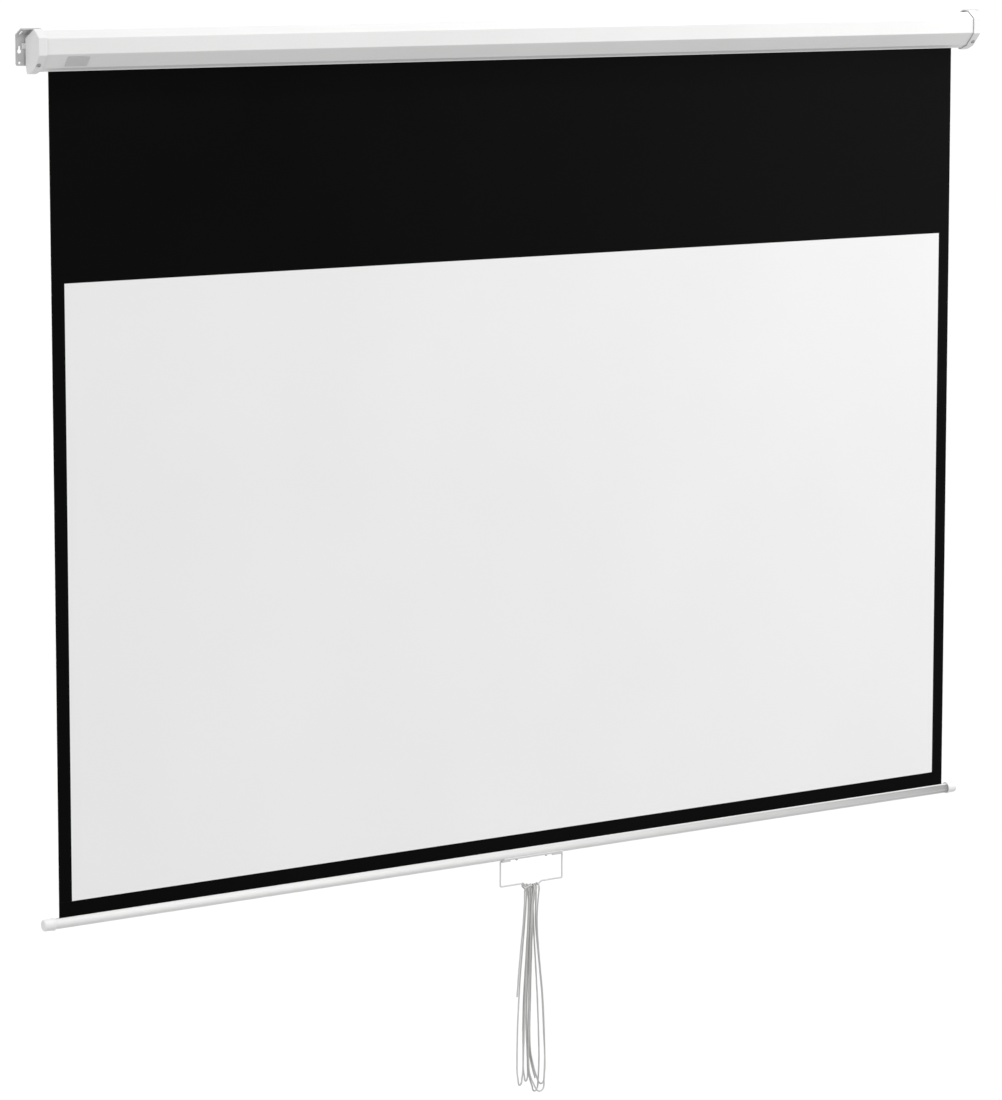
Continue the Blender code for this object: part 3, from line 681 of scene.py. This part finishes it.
def pass_over(x_back, x_top, x_front, lift=0.0, radius=6.4):
    """Up at the back of the dip, over the wire and down at its front."""
    centre = dip_height(x_top) + BAIL_WIRE_R + CORD_R + 0.1 + lift - radius
    xs = (x_back, (x_back + x_top) / 2, x_top, (x_top + x_front) / 2, x_front)
    out = []
    for x, degrees in zip(xs, (0, 45, 90, 135, 180)):
        a = math.radians(degrees)
        out.append((x, FABRIC_Y + radius * math.cos(a), centre + radius * math.sin(a)))
    return out


def bottom(points, v_first, v_last):
    """Points round a loop's lower end, its depth changing evenly with X."""
    first, span = points[0][0], points[-1][0] - points[0][0]
    return [seen(x, z, v_first + (v_last - v_first) * (x - first) / span) for x, z in points]


def round_bottom(x_left, x_right, low, v_left, v_right):
    """A half circle under two strands, as deep as it is truly wide."""
    a, b = Vector(seen(x_left, low, v_left)), Vector(seen(x_right, low, v_right))
    across = Vector((b.x - a.x, b.y - a.y, 0.0)) / 2
    middle = (a + b) / 2
    deep = across.length
    out = []
    for degrees in range(180, -1, -30):
        t = math.radians(degrees)
        out.append(tuple(middle + across * math.cos(t) + Vector((0, 0, deep * (1 - math.sin(t))))))
    return out


S2 = [(-1546, -10.4), (-1568, -11.6), (-1592, -13.6), (-1647, -18.9), (-1690, -23.2), (-1735, -26.5), (-1790, -29.4), (-1843, -30.6), (-1876, -30.2)]
S3 = [(-1550, -6.4), (-1590, -6.8), (-1632, -9.3), (-1675, -12.1), (-1735, -16.3), (-1790, -17.9), (-1843, -17.4), (-1872, -17.8)]
S4 = [(-1554, -4.4), (-1590, -5.4), (-1632, -7.6), (-1675, -10.1), (-1741, -13.2), (-1804, -15.4), (-1843, -16.6), (-1868, -17.0)]
S5 = [(-1550, -0.7), (-1600, -3.2), (-1675, -6.8), (-1734, -9.2), (-1785, -10.8), (-1835, -8.6), (-1868, -7.6)]
S6 = [(-1554, 0.5), (-1600, -1.8), (-1649, -4.7), (-1723, -8.7), (-1779, -10.2), (-1826, -8.5), (-1856, -6.8), (-1884, -4.4)]
S7 = [(-1550, 3.9), (-1590, 4.9), (-1632, 6.7), (-1677, 9.7), (-1745, 13.8), (-1809, 16.4), (-1848, 17.3), (-1880, 16.4)]
S8 = [(-1556, 1.6), (-1612, -0.9), (-1675, -3.0), (-1735, -4.3), (-1790, -5.2), (-1845, -5.5), (-1873, -4.3), (-1890, 0.4), (-1903, 6.6)]
S9 = [(-1543, 16.8), (-1566, 14.2), (-1596, 12.7), (-1633, 14.6), (-1678, 19.0), (-1739, 25.2), (-1811, 28.9), (-1860, 30.0), (-1886, 28.8)]
S10 = [(-1550, 5.2), (-1612, 1.6), (-1676, -1.0), (-1735, -2.6), (-1800, -4.3), (-1835, -2.8), (-1861, 2.4), (-1876, 6.6)]
S11 = [(-1550, 10.6), (-1592, 9.6), (-1620, 11.4), (-1678, 17.8), (-1739, 24.1), (-1811, 28.0), (-1856, 30.2), (-1876, 30.2)]
S12 = [(-1556, 2.4), (-1620, 0.4), (-1680, -2.4), (-1740, -3.9), (-1795, -5.2), (-1828, -4.0), (-1858, 1.0), (-1889.6, 9.3)]

BEHIND = (6.4, FABRIC_Y + 9.4, DIP_Z - 27.0)
route = [
    BEHIND,
    (2.0, FABRIC_Y + 9.4, DIP_Z - 25.2),
    (-0.4, FABRIC_Y + 9.3, DIP_Z - 20.0),
    (-3.8, FABRIC_Y + 9.0, DIP_Z - 12.0),
    (-9.6, FABRIC_Y + 8.4, DIP_Z - 4.8),
]
route += pass_over(-14.4, -18.2, -15.4, 0.0, 7.4)
route += strand(S2, -7.0, -5.2)
route += round_bottom(-28.0, -20.0, -1898.4, -5.2, 5.2)
route += strand(S3, 6.7, 5.2)[::-1]
route += pass_over(-5.0, -9.8, -9.0, 1.6, 6.9)
route += strand(S4, -6.7, -5.7)
route += round_bottom(-14.3, -7.5, -1892.6, -5.7, 5.7)
route += strand(S5, 6.2, 5.7)[::-1]
route += pass_over(0.4, -4.8, -4.8, 0.0, 6.8)
route += strand(S6, -6.2, -4.2)
route += round_bottom(2.8, 14.6, -1914.4, -4.2, 3.0)
route += strand(S7, 6.2, 3.0)[::-1]
route += pass_over(7.4, 4.7, 2.4)
route += strand(S8, -6.2, -7.4)
route += bottom([(11.8, -1912.2), (15.0, -1915.4), (19.4, -1916.6), (23.8, -1915.4), (27.0, -1912.0), (28.2, -1907.0), (28.2, -1899.0)], -7.2, -4.6)
route += strand(S9, -6.2, -4.4)[::-1]
route += pass_over(15.0, 12.7, 13.0)[::-1]
route += strand(S11, 6.2, 6.2)
route += bottom([(29.2, -1886.0), (28.9, -1892.6), (28.0, -1897.3), (25.8, -1901.0), (22.8, -1902.8), (19.8, -1902.2), (17.2, -1899.2), (14.2, -1893.8), (11.4, -1887.6)], 6.2, -3.6)
route += strand(S10, 6.2, -3.8)[::-1]
route += pass_over(11.0, 8.9, 7.2)
route += strand(S12, -6.2, -3.4)

S1 = [(-1551, -14.2), (-1592, -16.8), (-1647, -22.7), (-1690, -27.0), (-1732.3, -30.6)]
tail_route = [
    BEHIND,
    (10.8, FABRIC_Y + 9.3, DIP_Z - 25.2),
    (12.6, FABRIC_Y + 9.2, DIP_Z - 20.0),
    (11.2, FABRIC_Y + 9.2, DIP_Z - 13.0),
    (6.8, FABRIC_Y + 8.8, DIP_Z - 6.0),
    (2.4, FABRIC_Y + 6.0, DIP_Z + 0.4),
    (-1.0, FABRIC_Y + 0.6, DIP_Z + 3.4),
    (-4.6, FABRIC_Y - 4.8, DIP_Z + 3.0),
    (-10.8, FABRIC_Y - 8.4, DIP_Z + 2.4),
    (-17.0, FABRIC_Y - 9.7, DIP_Z + 1.2),
    (-20.2, FABRIC_Y - 9.6, DIP_Z - 3.0),
    (-20.4, FABRIC_Y - 9.4, DIP_Z - 10.0),
]
tail_route += strand(S1, -9.2, -7.0)


def relaxed(lines, rounds):
    """Moves strands apart where they would lie in each other or in the wire."""
    apart = 2 * CORD_R + 0.1
    clear = BAIL_WIRE_R + CORD_R + 0.05
    keys = [(i, j) for i, line in enumerate(lines) for j in range(len(line))]
    moves = [[Vector((0, 0, 0)) for _ in line] for line in lines]
    for _ in range(rounds):
        now = [[p + d for p, d in zip(line, move)] for line, move in zip(lines, moves)]
        tree = KDTree(len(keys))
        for n, (i, j) in enumerate(keys):
            tree.insert(now[i][j], n)
        tree.balance()
        for i, j in keys:
            here = now[i][j]
            for place, m, far in tree.find_range(here, apart):
                other, k = keys[m]
                if other == i and abs(k - j) < 12:
                    continue
                away = here - place if far > 1e-6 else Vector((0, 1, 0))
                moves[i][j] += away.normalized() * ((apart - far) * 0.25)
            if abs(here.x) < 22.5:
                off = Vector((0, here.y - FABRIC_Y, here.z - dip_height(here.x)))
                if 1e-6 < off.length < clear:
                    moves[i][j] += off.normalized() * (clear - off.length)
        for move in moves:
            even = [
                move[j] * 0.5 + (move[max(0, j - 1)] + move[min(len(move) - 1, j + 1)]) * 0.25
                for j in range(len(move))
            ]
            move[:] = even
    return [[p + d for p, d in zip(line, move)] for line, move in zip(lines, moves)]


cord_line, tail_line = relaxed([spline(route, 1.5), spline(tail_route, 1.5)], 60)


cord = piece("pull_cord", tube(cord_line, CORD_R, 12), CORD_GREY, "cord", ("cord_wraps", "cord_hank"), 60.0, False)
tail = piece("pull_cord_tail", tube(tail_line, CORD_R, 12), CORD_GREY, "cord", (), 60.0, False)

# ------------------------------------------------------------------ sheet
SHEET_TOP = AXIS_Z
SHEET_LOW = HEM_TOP
BORDER = 24.5
WHITE_TOP = LIP_Z - 351.0


def ripple(x, z):
    """The faint set of a cloth that has been rolled: less than a millimetre, none at its two held ends."""
    held = math.sin(math.pi * max(0.0, min(1.0, (SHEET_TOP - z) / (SHEET_TOP - SHEET_LOW))))
    side = abs(x) / (FABRIC_WIDTH / 2)
    return held * (
        0.45 * math.sin(x / 210.0 + 0.6) * math.sin(z / 380.0)
        + 0.25 * math.sin(x / 77.0 + z / 260.0)
        - 0.9 * side**6
    )


def sheet_mesh():
    edge = FABRIC_WIDTH / 2
    xs = [-edge, -edge + 8.0, -edge + BORDER]
    xs += [-edge + BORDER + (2 * edge - 2 * BORDER) * k / 96 for k in range(1, 96)]
    xs += [edge - BORDER, edge - 8.0, edge]
    zs = [SHEET_TOP + (WHITE_TOP - SHEET_TOP) * k / 22 for k in range(22)]
    zs += [WHITE_TOP + (SHEET_LOW - WHITE_TOP) * k / 56 for k in range(57)]
    bm = bmesh.new()
    front, back = [], []
    for z in zs:
        front.append([bm.verts.new((x, FABRIC_FRONT + ripple(x, z), z)) for x in xs])
        back.append(
            [bm.verts.new((x, FABRIC_FRONT + FABRIC_THICK + ripple(x, z), z)) for x in xs]
        )
    rows, cols = len(zs), len(xs)
    for i in range(rows - 1):
        for k in range(cols - 1):
            a = bm.faces.new((front[i][k], front[i + 1][k], front[i + 1][k + 1], front[i][k + 1]))
            white = (
                xs[k] >= -edge + BORDER - 0.01
                and xs[k + 1] <= edge - BORDER + 0.01
                and zs[i] <= WHITE_TOP + 0.01
            )
            a.material_index = 0 if white else 1
            b = bm.faces.new((back[i][k], back[i][k + 1], back[i + 1][k + 1], back[i + 1][k]))
            b.material_index = 2
    rim = [(0, k) for k in range(cols)] + [(i, cols - 1) for i in range(1, rows)]
    rim += [(rows - 1, k) for k in range(cols - 2, -1, -1)] + [(i, 0) for i in range(rows - 2, 0, -1)]
    for (i, k), (j, m) in zip(rim, rim[1:] + rim[:1]):
        c = bm.faces.new((front[i][k], front[j][m], back[j][m], back[i][k]))
        c.material_index = 1
    return bm


sheet = piece(
    "screen_sheet", sheet_mesh(), [SHEET_WHITE, SHEET_BLACK, SHEET_BACK], "housing",
    ("screen_fabric",), 40.0, False,
)

# The lowest strip goes down through the bar's slot and round the rod inside it.
hook = [(FABRIC_FRONT, HEM_TOP - 0.1), (FABRIC_FRONT, BAR_Z + 3.2)]
hook += [
    (
        FABRIC_Y - 2.7 * math.cos(math.radians(a)),
        BAR_Z + 2.7 * math.sin(math.radians(a)),
    )
    for a in range(50, -221, -15)
]
hem = piece(
    "sheet_hem",
    along_x(strip(hook, FABRIC_THICK, side=1.0), -FABRIC_WIDTH / 2, FABRIC_WIDTH / 2),
    SHEET_BLACK, "bar", ("fabric_hem",),
)

# ------------------------------------------------------------------ casing
lip = CASING_SECTION[0]
casing_line = rounded(
    [(lip[0], lip[1] + LIP_UP)] + CASING_SECTION, [0] + CASING_RADII, 8, closed=False
)
shell = along_x(strip(from_depth(casing_line), CASING_WALL, side=-1.0), -CASING_HALF, CASING_HALF)
bead = along_x(
    from_depth(rounded([(31.8, -31.7), (31.8, -33.75), (34.7, -33.75), (34.7, -32.5)], [0, 0.3, 0.3, 0], 3)),
    -CAP_INNER + 0.3, CAP_INNER - 0.3,
)
piece(
    "casing_shell", softened(carved(shell, [], [bead]), 0.25, 60.0), CASING_WHITE, "housing",
    ("casing",),
)

slope_a, slope_b = Vector(CASING_SECTION[2]), Vector(CASING_SECTION[1])
slope = (slope_b - slope_a).normalized()
outward = Vector((slope.y, -slope.x))
if outward.x > 0:
    outward = -outward


def on_slope(bm, x, along, lift):
    """Places a solid made about local +X, its axis square to the lower front slope."""
    at = slope_a + slope * along + outward * lift
    y, z = from_depth([at])[0]
    out3 = Vector((0, outward.x, outward.y))
    down3 = Vector((0, slope.x, slope.y))
    turn = Matrix(
        (
            (out3.x, 1, down3.x, x),
            (out3.y, 0, down3.y, y),
            (out3.z, 0, down3.z, z),
            (0, 0, 0, 1),
        )
    )
    bm.transform(turn)
    return bm


# Bare plate: local axes are out of the slope, along the housing, and down the slope.
plate_outline = rounded([(-20.25, 0.0), (20.25, 0.0), (20.25, 21.5), (-20.25, 21.5)], 1.2, 6)
plate = loft(
    [
        [(a, p.x * s, 10.75 + (p.y - 10.75) * s) for p in plate_outline]
        for a, s in ((0.3, 1.0), (0.95, 1.0), (1.15, 0.992), (1.2, 0.98))
    ]
)
piece(
    "label_blank", on_slope(plate, -936.0 + 20.25, 4.9, 0.0), LABEL_METAL, "housing", ("label_plate",)
)

# ------------------------------------------------------------------ ends
socket = rounded(grown(CASING_SECTION, GAP), [r + GAP for r in CASING_RADII])
MOUTH_GAPS = [1.75, 1.75, 1.75, 1.75, 1.0, 0.8, 0.8, 1.75]
RIM_SLOPES = [1.0, 1.0, 1.0, 1.0, 0.5, 0.35, 0.35, 1.0]
mouth = rounded(grown(CASING_SECTION, MOUTH_GAPS), [r + 1.0 for r in CASING_RADII])
INSERT_OUT = [-(CASING_WALL + 0.4)] * 7 + [-(LIP_UP + 1.0)]
INSERT_IN = [-(CASING_WALL + 2.1)] * 7 + [-(LIP_UP + 2.7)]
insert_out = rounded(grown(CASING_SECTION, INSERT_OUT), 1.0)
insert_in = rounded(grown(CASING_SECTION, INSERT_IN), 0.8)


def cap_ring(inset, shares=(1.0,) * 8):
    return rounded(
        grown(CAP_SECTION, [-inset * share for share in shares]), [max(0.6, r - inset * 0.6) for r in CAP_RADII]
    )


CAP_RINGS = []
for k in range(6, -1, -1):
    a = math.pi / 2 * k / 6
    CAP_RINGS.append((CAP_OUTER - 1.3 * (1 - math.sin(a)), cap_ring(1.3 * (1 - math.cos(a)))))
CAP_RINGS += [
    (CAP_INNER + 2.9, cap_ring(0.0)),
    (CAP_INNER + 2.5, cap_ring(0.05, RIM_SLOPES)),
    (CAP_INNER + 0.4, cap_ring(0.36, RIM_SLOPES)),
    (CAP_INNER + 0.12, cap_ring(0.44, RIM_SLOPES)),
    (CAP_INNER, cap_ring(0.56, RIM_SLOPES)),
    (CAP_INNER, mouth),
    (CAP_INNER + 2.4, mouth),
    (CAP_INNER + 2.7, socket),
    (CASING_HALF + 0.4, socket),
    (CASING_HALF + 0.4, insert_out),
    (969.0, insert_out),
    (969.0, insert_in),
    (981.5, insert_in),
]
CAP_SCREW_AT = Vector(CAP_SECTION[2]) * 0.32 + Vector(CAP_SECTION[1]) * 0.68
CAP_SCREW_X = 985.6
BRACKET_SCREW_X, BRACKET_SCREW_Z = 985.6, 4.0
OUT3 = Vector((0, outward.x, outward.y))


def threaded(start, end, core, crest, pitch, segments=24):
    """Profile points of a screw's shank, with ridges for its thread."""
    out, a, n = [], start, 0
    while a < end - 1e-6:
        out.append((a, crest if n % 2 else core))
        a += pitch / 2
        n += 1
    return out


def build_end(sign, name):
    cap = loft([[(sign * x, y, z) for y, z in from_depth(ring)] for x, ring in CAP_RINGS])
    here = from_depth([CAP_SCREW_AT])[0]
    spot = Vector((sign * CAP_SCREW_X, *here))
    pad = along_x(
        [(-6.5, -8), (-PLATE - 0.35, -7), (-PLATE - 0.35, 15), (-6.5, 16)], sign * 979.6, sign * 990.6
    )
    lug = along_x(
        rounded([(-6.2, 3.8), (-PLATE - 0.35, 3.8), (-PLATE - 0.35, 13.4), (-6.2, 13.4)], [1.2, 0, 0, 1.2]),
        sign * 985.0, sign * 997.8,
    )
    bores = [
        placed(
            turned([(-1, 0), (-1, 2.3), (14, 2.3), (14, 0)], 32),
            (sign * BRACKET_SCREW_X, -PLATE + 0.5, BRACKET_SCREW_Z),
            (0, -1, 0),
        ),
        placed(
            turned(
                [(-11.5, 0), (-11.5, 2.1), (-1.2, 2.1), (-1.2, 4.0), (-0.25, 4.0), (4, 8.0), (4, 0)], 48
            ),
            spot,
            OUT3,
        ),
    ]
    piece("cap_" + name, carved(cap, bores, [pad, lug]), CAP_WHITE, "housing", ("end_cap_" + name,))

    head = [
        (-0.85, 3.5), (0.35, 3.5), (0.7, 3.38), (1.05, 3.05), (1.35, 2.5), (1.56, 1.8), (1.67, 1.0), (1.7, 0),
    ]
    shank = [(-10.8, 0), (-10.2, 0.9), (-9.4, 1.5)] + threaded(-9.2, -1.2, 1.45, 1.75, 1.0) + [(-0.85, 1.7)]
    screw = carved(
        turned(shank + head, 48),
        [cross_prism(2.0, 0.95, 0.15, 3.0, 0.7)],
    )
    piece(
        "cap_screw_head_" + name, placed(screw, spot, OUT3, math.radians(20)), SCREW_STEEL, "housing",
        ("cap_screw_" + name,),
    )

    fold = rounded([(0.0, -24.0), (0.0, 27.6), (-20.0, 38.0), (-31.0, 38.0)], [0, 3.2, 3.2, 0], 8, closed=False)
    bracket = along_x(strip(fold, PLATE, side=1.0), sign * BRACKET_INNER, sign * BRACKET_OUTER)
    hole_x = sign * (BRACKET_OUTER - 6.4)
    keyhole = [
        (hole_x + 3.8 * math.cos(a), 3.8 * math.sin(a))
        for a in [math.radians(120 + 300 * k / 36) for k in range(37)]
    ]
    keyhole += [
        (hole_x + 1.9 * math.cos(a), 7.0 + 1.9 * math.sin(a))
        for a in [math.radians(180 * k / 16) for k in range(17)]
    ]
    slant = Vector((0, 10.4, 20.0)).normalized()
    slot_mid = Vector((hole_x + sign * 0.6, -9.2, 32.4))
    slot_outline = [
        (1.95 * math.cos(a), 4.7 * s + 1.95 * math.sin(a))
        for s, a0 in ((1, 0), (-1, 180))
        for a in [math.radians(a0 + 180 * k / 14) for k in range(15)]
    ]
    slot_cutter = loft([[(a, p, q) for p, q in slot_outline] for a in (-5, 5)])
    slot_cutter.transform(
        Matrix.Translation(slot_mid)
        @ Matrix(
            (
                (slant.x, 1, 0, 0),
                (slant.y, 0, slant.z, 0),
                (slant.z, 0, -slant.y, 0),
                (0, 0, 0, 1),
            )
        )
    )
    corner = [(sign * (BRACKET_OUTER + 1), -25), (sign * (BRACKET_OUTER - 4), -25)] + [
        (
            sign * (BRACKET_OUTER - 4 + 4 * math.cos(math.radians(a))),
            -20 + 4 * math.sin(math.radians(a)),
        )
        for a in range(-90, 1, 10)
    ] + [(sign * (BRACKET_OUTER + 1), -20)]
    holes = [
        along_y(keyhole, -5, 3),
        placed(turned([(-4, 0), (-4, 2.15), (4, 2.15), (4, 0)], 36), (hole_x, -1, -19), (0, 1, 0)),
        slot_cutter,
        along_y(corner, -5, 3),
        placed(
            turned([(-3, 0), (-3, 4.3), (0.1, 4.3), (2.1, 2.3), (6, 2.3), (6, 0)], 36),
            (sign * BRACKET_SCREW_X, 0, BRACKET_SCREW_Z),
            (0, -1, 0),
        ),
    ]
    piece(
        "wall_bracket_" + name, softened(carved(bracket, holes), 0.22, 50.0), ZINC, "housing",
        ("bracket_" + name,),
    )
    sunk = carved(
        turned(
            [(0.2, 0), (0.2, 3.6), (0.35, 3.75), (2.1, 1.9)] + threaded(2.3, 11.0, 1.55, 1.9, 0.9) + [(12.2, 0.8), (12.4, 0)],
            36,
        ),
        [cross_prism(1.9, 0.9, -1.0, 1.6, 1.2)],
    )
    piece(
        "bracket_screw_head_" + name,
        placed(sunk, (sign * BRACKET_SCREW_X, 0, BRACKET_SCREW_Z), (0, -1, 0)),
        SCREW_STEEL, "housing", ("bracket_screw_" + name,),
    )


build_end(-1.0, "left")
build_end(1.0, "right")

# ------------------------------------------------------------------ bottom bar
slot_angle = math.asin(1.5 / BAR_R)
bar_line = [
    (
        FABRIC_Y + BAR_R * math.sin(slot_angle + (2 * math.pi - 2 * slot_angle) * k / 112),
        BAR_Z + BAR_R * math.cos(slot_angle + (2 * math.pi - 2 * slot_angle) * k / 112),
    )
    for k in range(113)
]
bar = carved(
    along_x(strip(bar_line, BAR_WALL, side=-1.0), -BAR_HALF, BAR_HALF),
    [
        placed(turned([(-3, 0), (-3, 1.75), (3, 1.75), (3, 0)], 32), (s * MOUNT_SCREW_X, FABRIC_Y, BAR_Z - BAR_R), (0, 0, 1))
        for s in (-1, 1)
    ],
)
piece("bar_tube", softened(bar, 0.18, 60.0), BAR_WHITE, "bar", ("bottom_bar",))

cap_profile = [(p.x, p.y) for p in rounded(
    [
        (BAR_CAP_OUTER, 0.0), (BAR_CAP_OUTER, 9.85), (968.7, 10.2), (968.1, 10.9),
        (BAR_CAP_INNER, 10.9), (BAR_CAP_INNER, 9.35),
    ],
    [0, 2.7, 0.4, 0.4, 0.55, 0], 7, closed=False,
)]
cap_profile += [(BAR_HALF + 0.4, 9.35), (BAR_HALF + 0.4, 0.0)]
for sign, name in ((-1, "left"), (1, "right")):
    piece(
        "bar_end_" + name,
        placed(turned([(sign * a, r) for a, r in cap_profile], 72), (0, FABRIC_Y, BAR_Z)),
        CAP_WHITE, "bar", ("bar_cap_" + name,),
    )

# The bail's mount: a strip that hugs the bar's underside, with a lobe at each end for an arm of the bail.
MOUNT_IN, MOUNT_OUT = BAR_R + GAP, BAR_R + 1.6
LOBE_R, LOBE_BORE = 2.6, 1.8
mount_line = [
    (FABRIC_Y + MOUNT_IN * math.sin(math.radians(a)), BAR_Z - MOUNT_IN * math.cos(math.radians(a)))
    for a in range(-60, 61, 4)
]
lobes, mount_cuts = [], []
for sign in (-1, 1):
    inner, outer = (sign * x for x in MOUNT_LOBE_X)
    lobes.append(
        placed(turned([(inner, 0), (inner, LOBE_R), (outer, LOBE_R), (outer, 0)], 48), (0, FABRIC_Y, BAIL_Z))
    )
    mount_cuts.append(
        placed(
            turned(
                [(inner - sign, 0), (inner - sign, LOBE_BORE), (outer + sign, LOBE_BORE), (outer + sign, 0)], 40
            ),
            (0, FABRIC_Y, BAIL_Z),
        )
    )
    mount_cuts.append(
        block(inner - sign, outer + sign, FABRIC_Y - 1.5, FABRIC_Y + 1.5, BAIL_Z, BAR_Z - BAR_R + 1)
    )
    mount_cuts.append(
        placed(
            turned([(-3, 0), (-3, 1.75), (3, 1.75), (3, 0)], 32),
            (sign * MOUNT_SCREW_X, FABRIC_Y, BAR_Z - BAR_R),
            (0, 0, 1),
        )
    )
mount_cuts.append(placed(turned([(-70, 0), (-70, MOUNT_IN), (70, MOUNT_IN), (70, 0)], 144), (0, FABRIC_Y, BAR_Z)))
mount = carved(
    along_x(strip(mount_line, MOUNT_OUT - MOUNT_IN, side=-1.0), -MOUNT_LOBE_X[1], MOUNT_LOBE_X[1]),
    mount_cuts,
    lobes,
)
piece("bail_strip", softened(mount, 0.2, 55.0), CAP_WHITE, "bar", ("bail_mount",))

for sign, name in ((-1, "left"), (1, "right")):
    shank = [(4.7, 0), (4.6, 0.6), (3.9, 1.3)]
    shank += [(a, r) for a, r in threaded(-1.6, 3.8, 1.1, 1.4, 0.8)][::-1]
    dome = [(-1.85, 1.3), (-1.85, 2.22), (-2.3, 2.3), (-2.75, 2.2), (-3.2, 1.95), (-3.6, 1.5), (-3.85, 1.0), (-4.0, 0)]
    fixing = carved(turned(shank + dome, 40), [cross_prism(1.35, 0.65, -4.3, -2.9, 1.2)])
    piece(
        "bail_fixing_" + name, placed(fixing, (sign * MOUNT_SCREW_X, FABRIC_Y, BAR_Z - BAR_R), (0, 0, 1)),
        SCREW_STEEL, "bar", ("bail_screw_" + name,),
    )

# ------------------------------------------------------------------ pull bail
half_path = [
    (MOUNT_LOBE_X[0] + 0.5, BAIL_Z),
    (BAIL_HALF, BAIL_Z),
    (BAIL_HALF, BAIL_LOW),
    (DIP_TOP, BAIL_LOW),
    (DIP_BOTTOM, DIP_Z),
]
corners = [(-x, z) for x, z in half_path] + [(x, z) for x, z in half_path[::-1]]
bends = rounded(corners, [0, 2.6, 2.0, 2.6, 2.6, 2.6, 2.6, 2.0, 2.6, 0], 10, closed=False)
piece(
    "bail_wire", tube([(p.x, FABRIC_Y, p.y) for p in bends], BAIL_WIRE_R, 24), BAIL_WHITE, "bail",
    ("pull_bail",), 60.0, False,
)

# ------------------------------------------------------------------ pieces that stay as they are
for node, finish in {
    "shaft_holder": ZINC, "spring_shaft": ZINC, "ratchet_hub": ZINC, "torsion_spring": SPRING_STEEL,
    "bearing_bush": NYLON, "roller_tube": ROLLER_METAL, "fabric_wraps": SHEET_BACK,
    "roller_plug_left": NYLON, "roller_plug_right": NYLON, "roller_pin": ZINC, "spring_anchor": NYLON,
    "pawl": ZINC, "hem_rod": ZINC,
}.items():
    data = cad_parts[node].data
    data.materials.clear()
    data.materials.append(finish)

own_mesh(sheet)

# ------------------------------------------------------------------ floor and light
FLOOR_Z = -5.5
floor_bm = bmesh.new()
for corner in ((-400, -400), (400, -400), (400, 400), (-400, 400)):
    floor_bm.verts.new((corner[0], corner[1], FLOOR_Z))
floor_bm.faces.new(floor_bm.verts)
floor_data = bpy.data.meshes.new("floor")
floor_bm.to_mesh(floor_data)
floor_bm.free()
floor = bpy.data.objects.new("floor", floor_data)
bpy.context.scene.collection.objects.link(floor)
pale = Tree("floor_pale")
floor_data.materials.append(
    pale.finish(
        pale.colours(pale.noise(pale.place(), 0.8, 2.0), [(0.3, (0.90, 0.90, 0.90)), (0.7, (0.91, 0.91, 0.91))]),
        Metallic=0.0, Roughness=0.9, Specular_IOR_Level=0.1,
    )
)
floor.visible_diffuse = False
floor.visible_glossy = False
floor.visible_shadow = False

world = bpy.data.worlds.new("studio")
bpy.context.scene.world = world
world.use_nodes = True
nodes, links = world.node_tree.nodes, world.node_tree.links
sky = nodes["Background"]
coords = nodes.new("ShaderNodeTexCoord")
parts = nodes.new("ShaderNodeSeparateXYZ")
links.new(coords.outputs["Generated"], parts.inputs["Vector"])
level = nodes.new("ShaderNodeMapRange")
level.inputs["From Min"].default_value = -1.0
level.inputs["From Max"].default_value = 1.0
level.inputs["To Min"].default_value = 0.77
level.inputs["To Max"].default_value = 0.62
links.new(parts.outputs["Z"], level.inputs["Value"])
links.new(level.outputs["Result"], sky.inputs["Strength"])
sky.inputs["Color"].default_value = (1.0, 1.0, 1.0, 1.0)


def area_light(name, at, towards, size, power):
    data = bpy.data.lights.new(name, "AREA")
    data.shape = "DISK"
    data.size = size
    data.energy = power
    made = bpy.data.objects.new(name, data)
    made.location = at
    made.rotation_euler = (Vector(towards) - Vector(at)).to_track_quat("-Z", "Y").to_euler()
    bpy.context.scene.collection.objects.link(made)
    return made


def far_light(name, direction, width, strength):
    """Even light from far away; the direction points from the object to the light."""
    data = bpy.data.lights.new(name, "SUN")
    data.angle = math.radians(width)
    data.energy = strength
    made = bpy.data.objects.new(name, data)
    made.rotation_euler = (-Vector(direction)).to_track_quat("-Z", "Y").to_euler()
    bpy.context.scene.collection.objects.link(made)
    return made


far_light("overhead", (0.10, -0.44, 0.89), 7.0, 1.55)
far_light("left_fill", (-1.0, -0.25, 0.1), 70.0, 0.74)
far_light("right_edge", (1.0, -0.10, 0.05), 20.0, 0.45)
area_light("right_front", (2.8, -2.4, -0.35), (0.7, 0.0, -0.4), 1.4, 11.5)
area_light("key", (1.6, -0.95, 1.3), (0.95, -0.05, 0.0), 0.8, 16.0)

bpy.context.scene.view_settings.view_transform = "Standard"
bpy.context.scene.view_settings.look = "None"
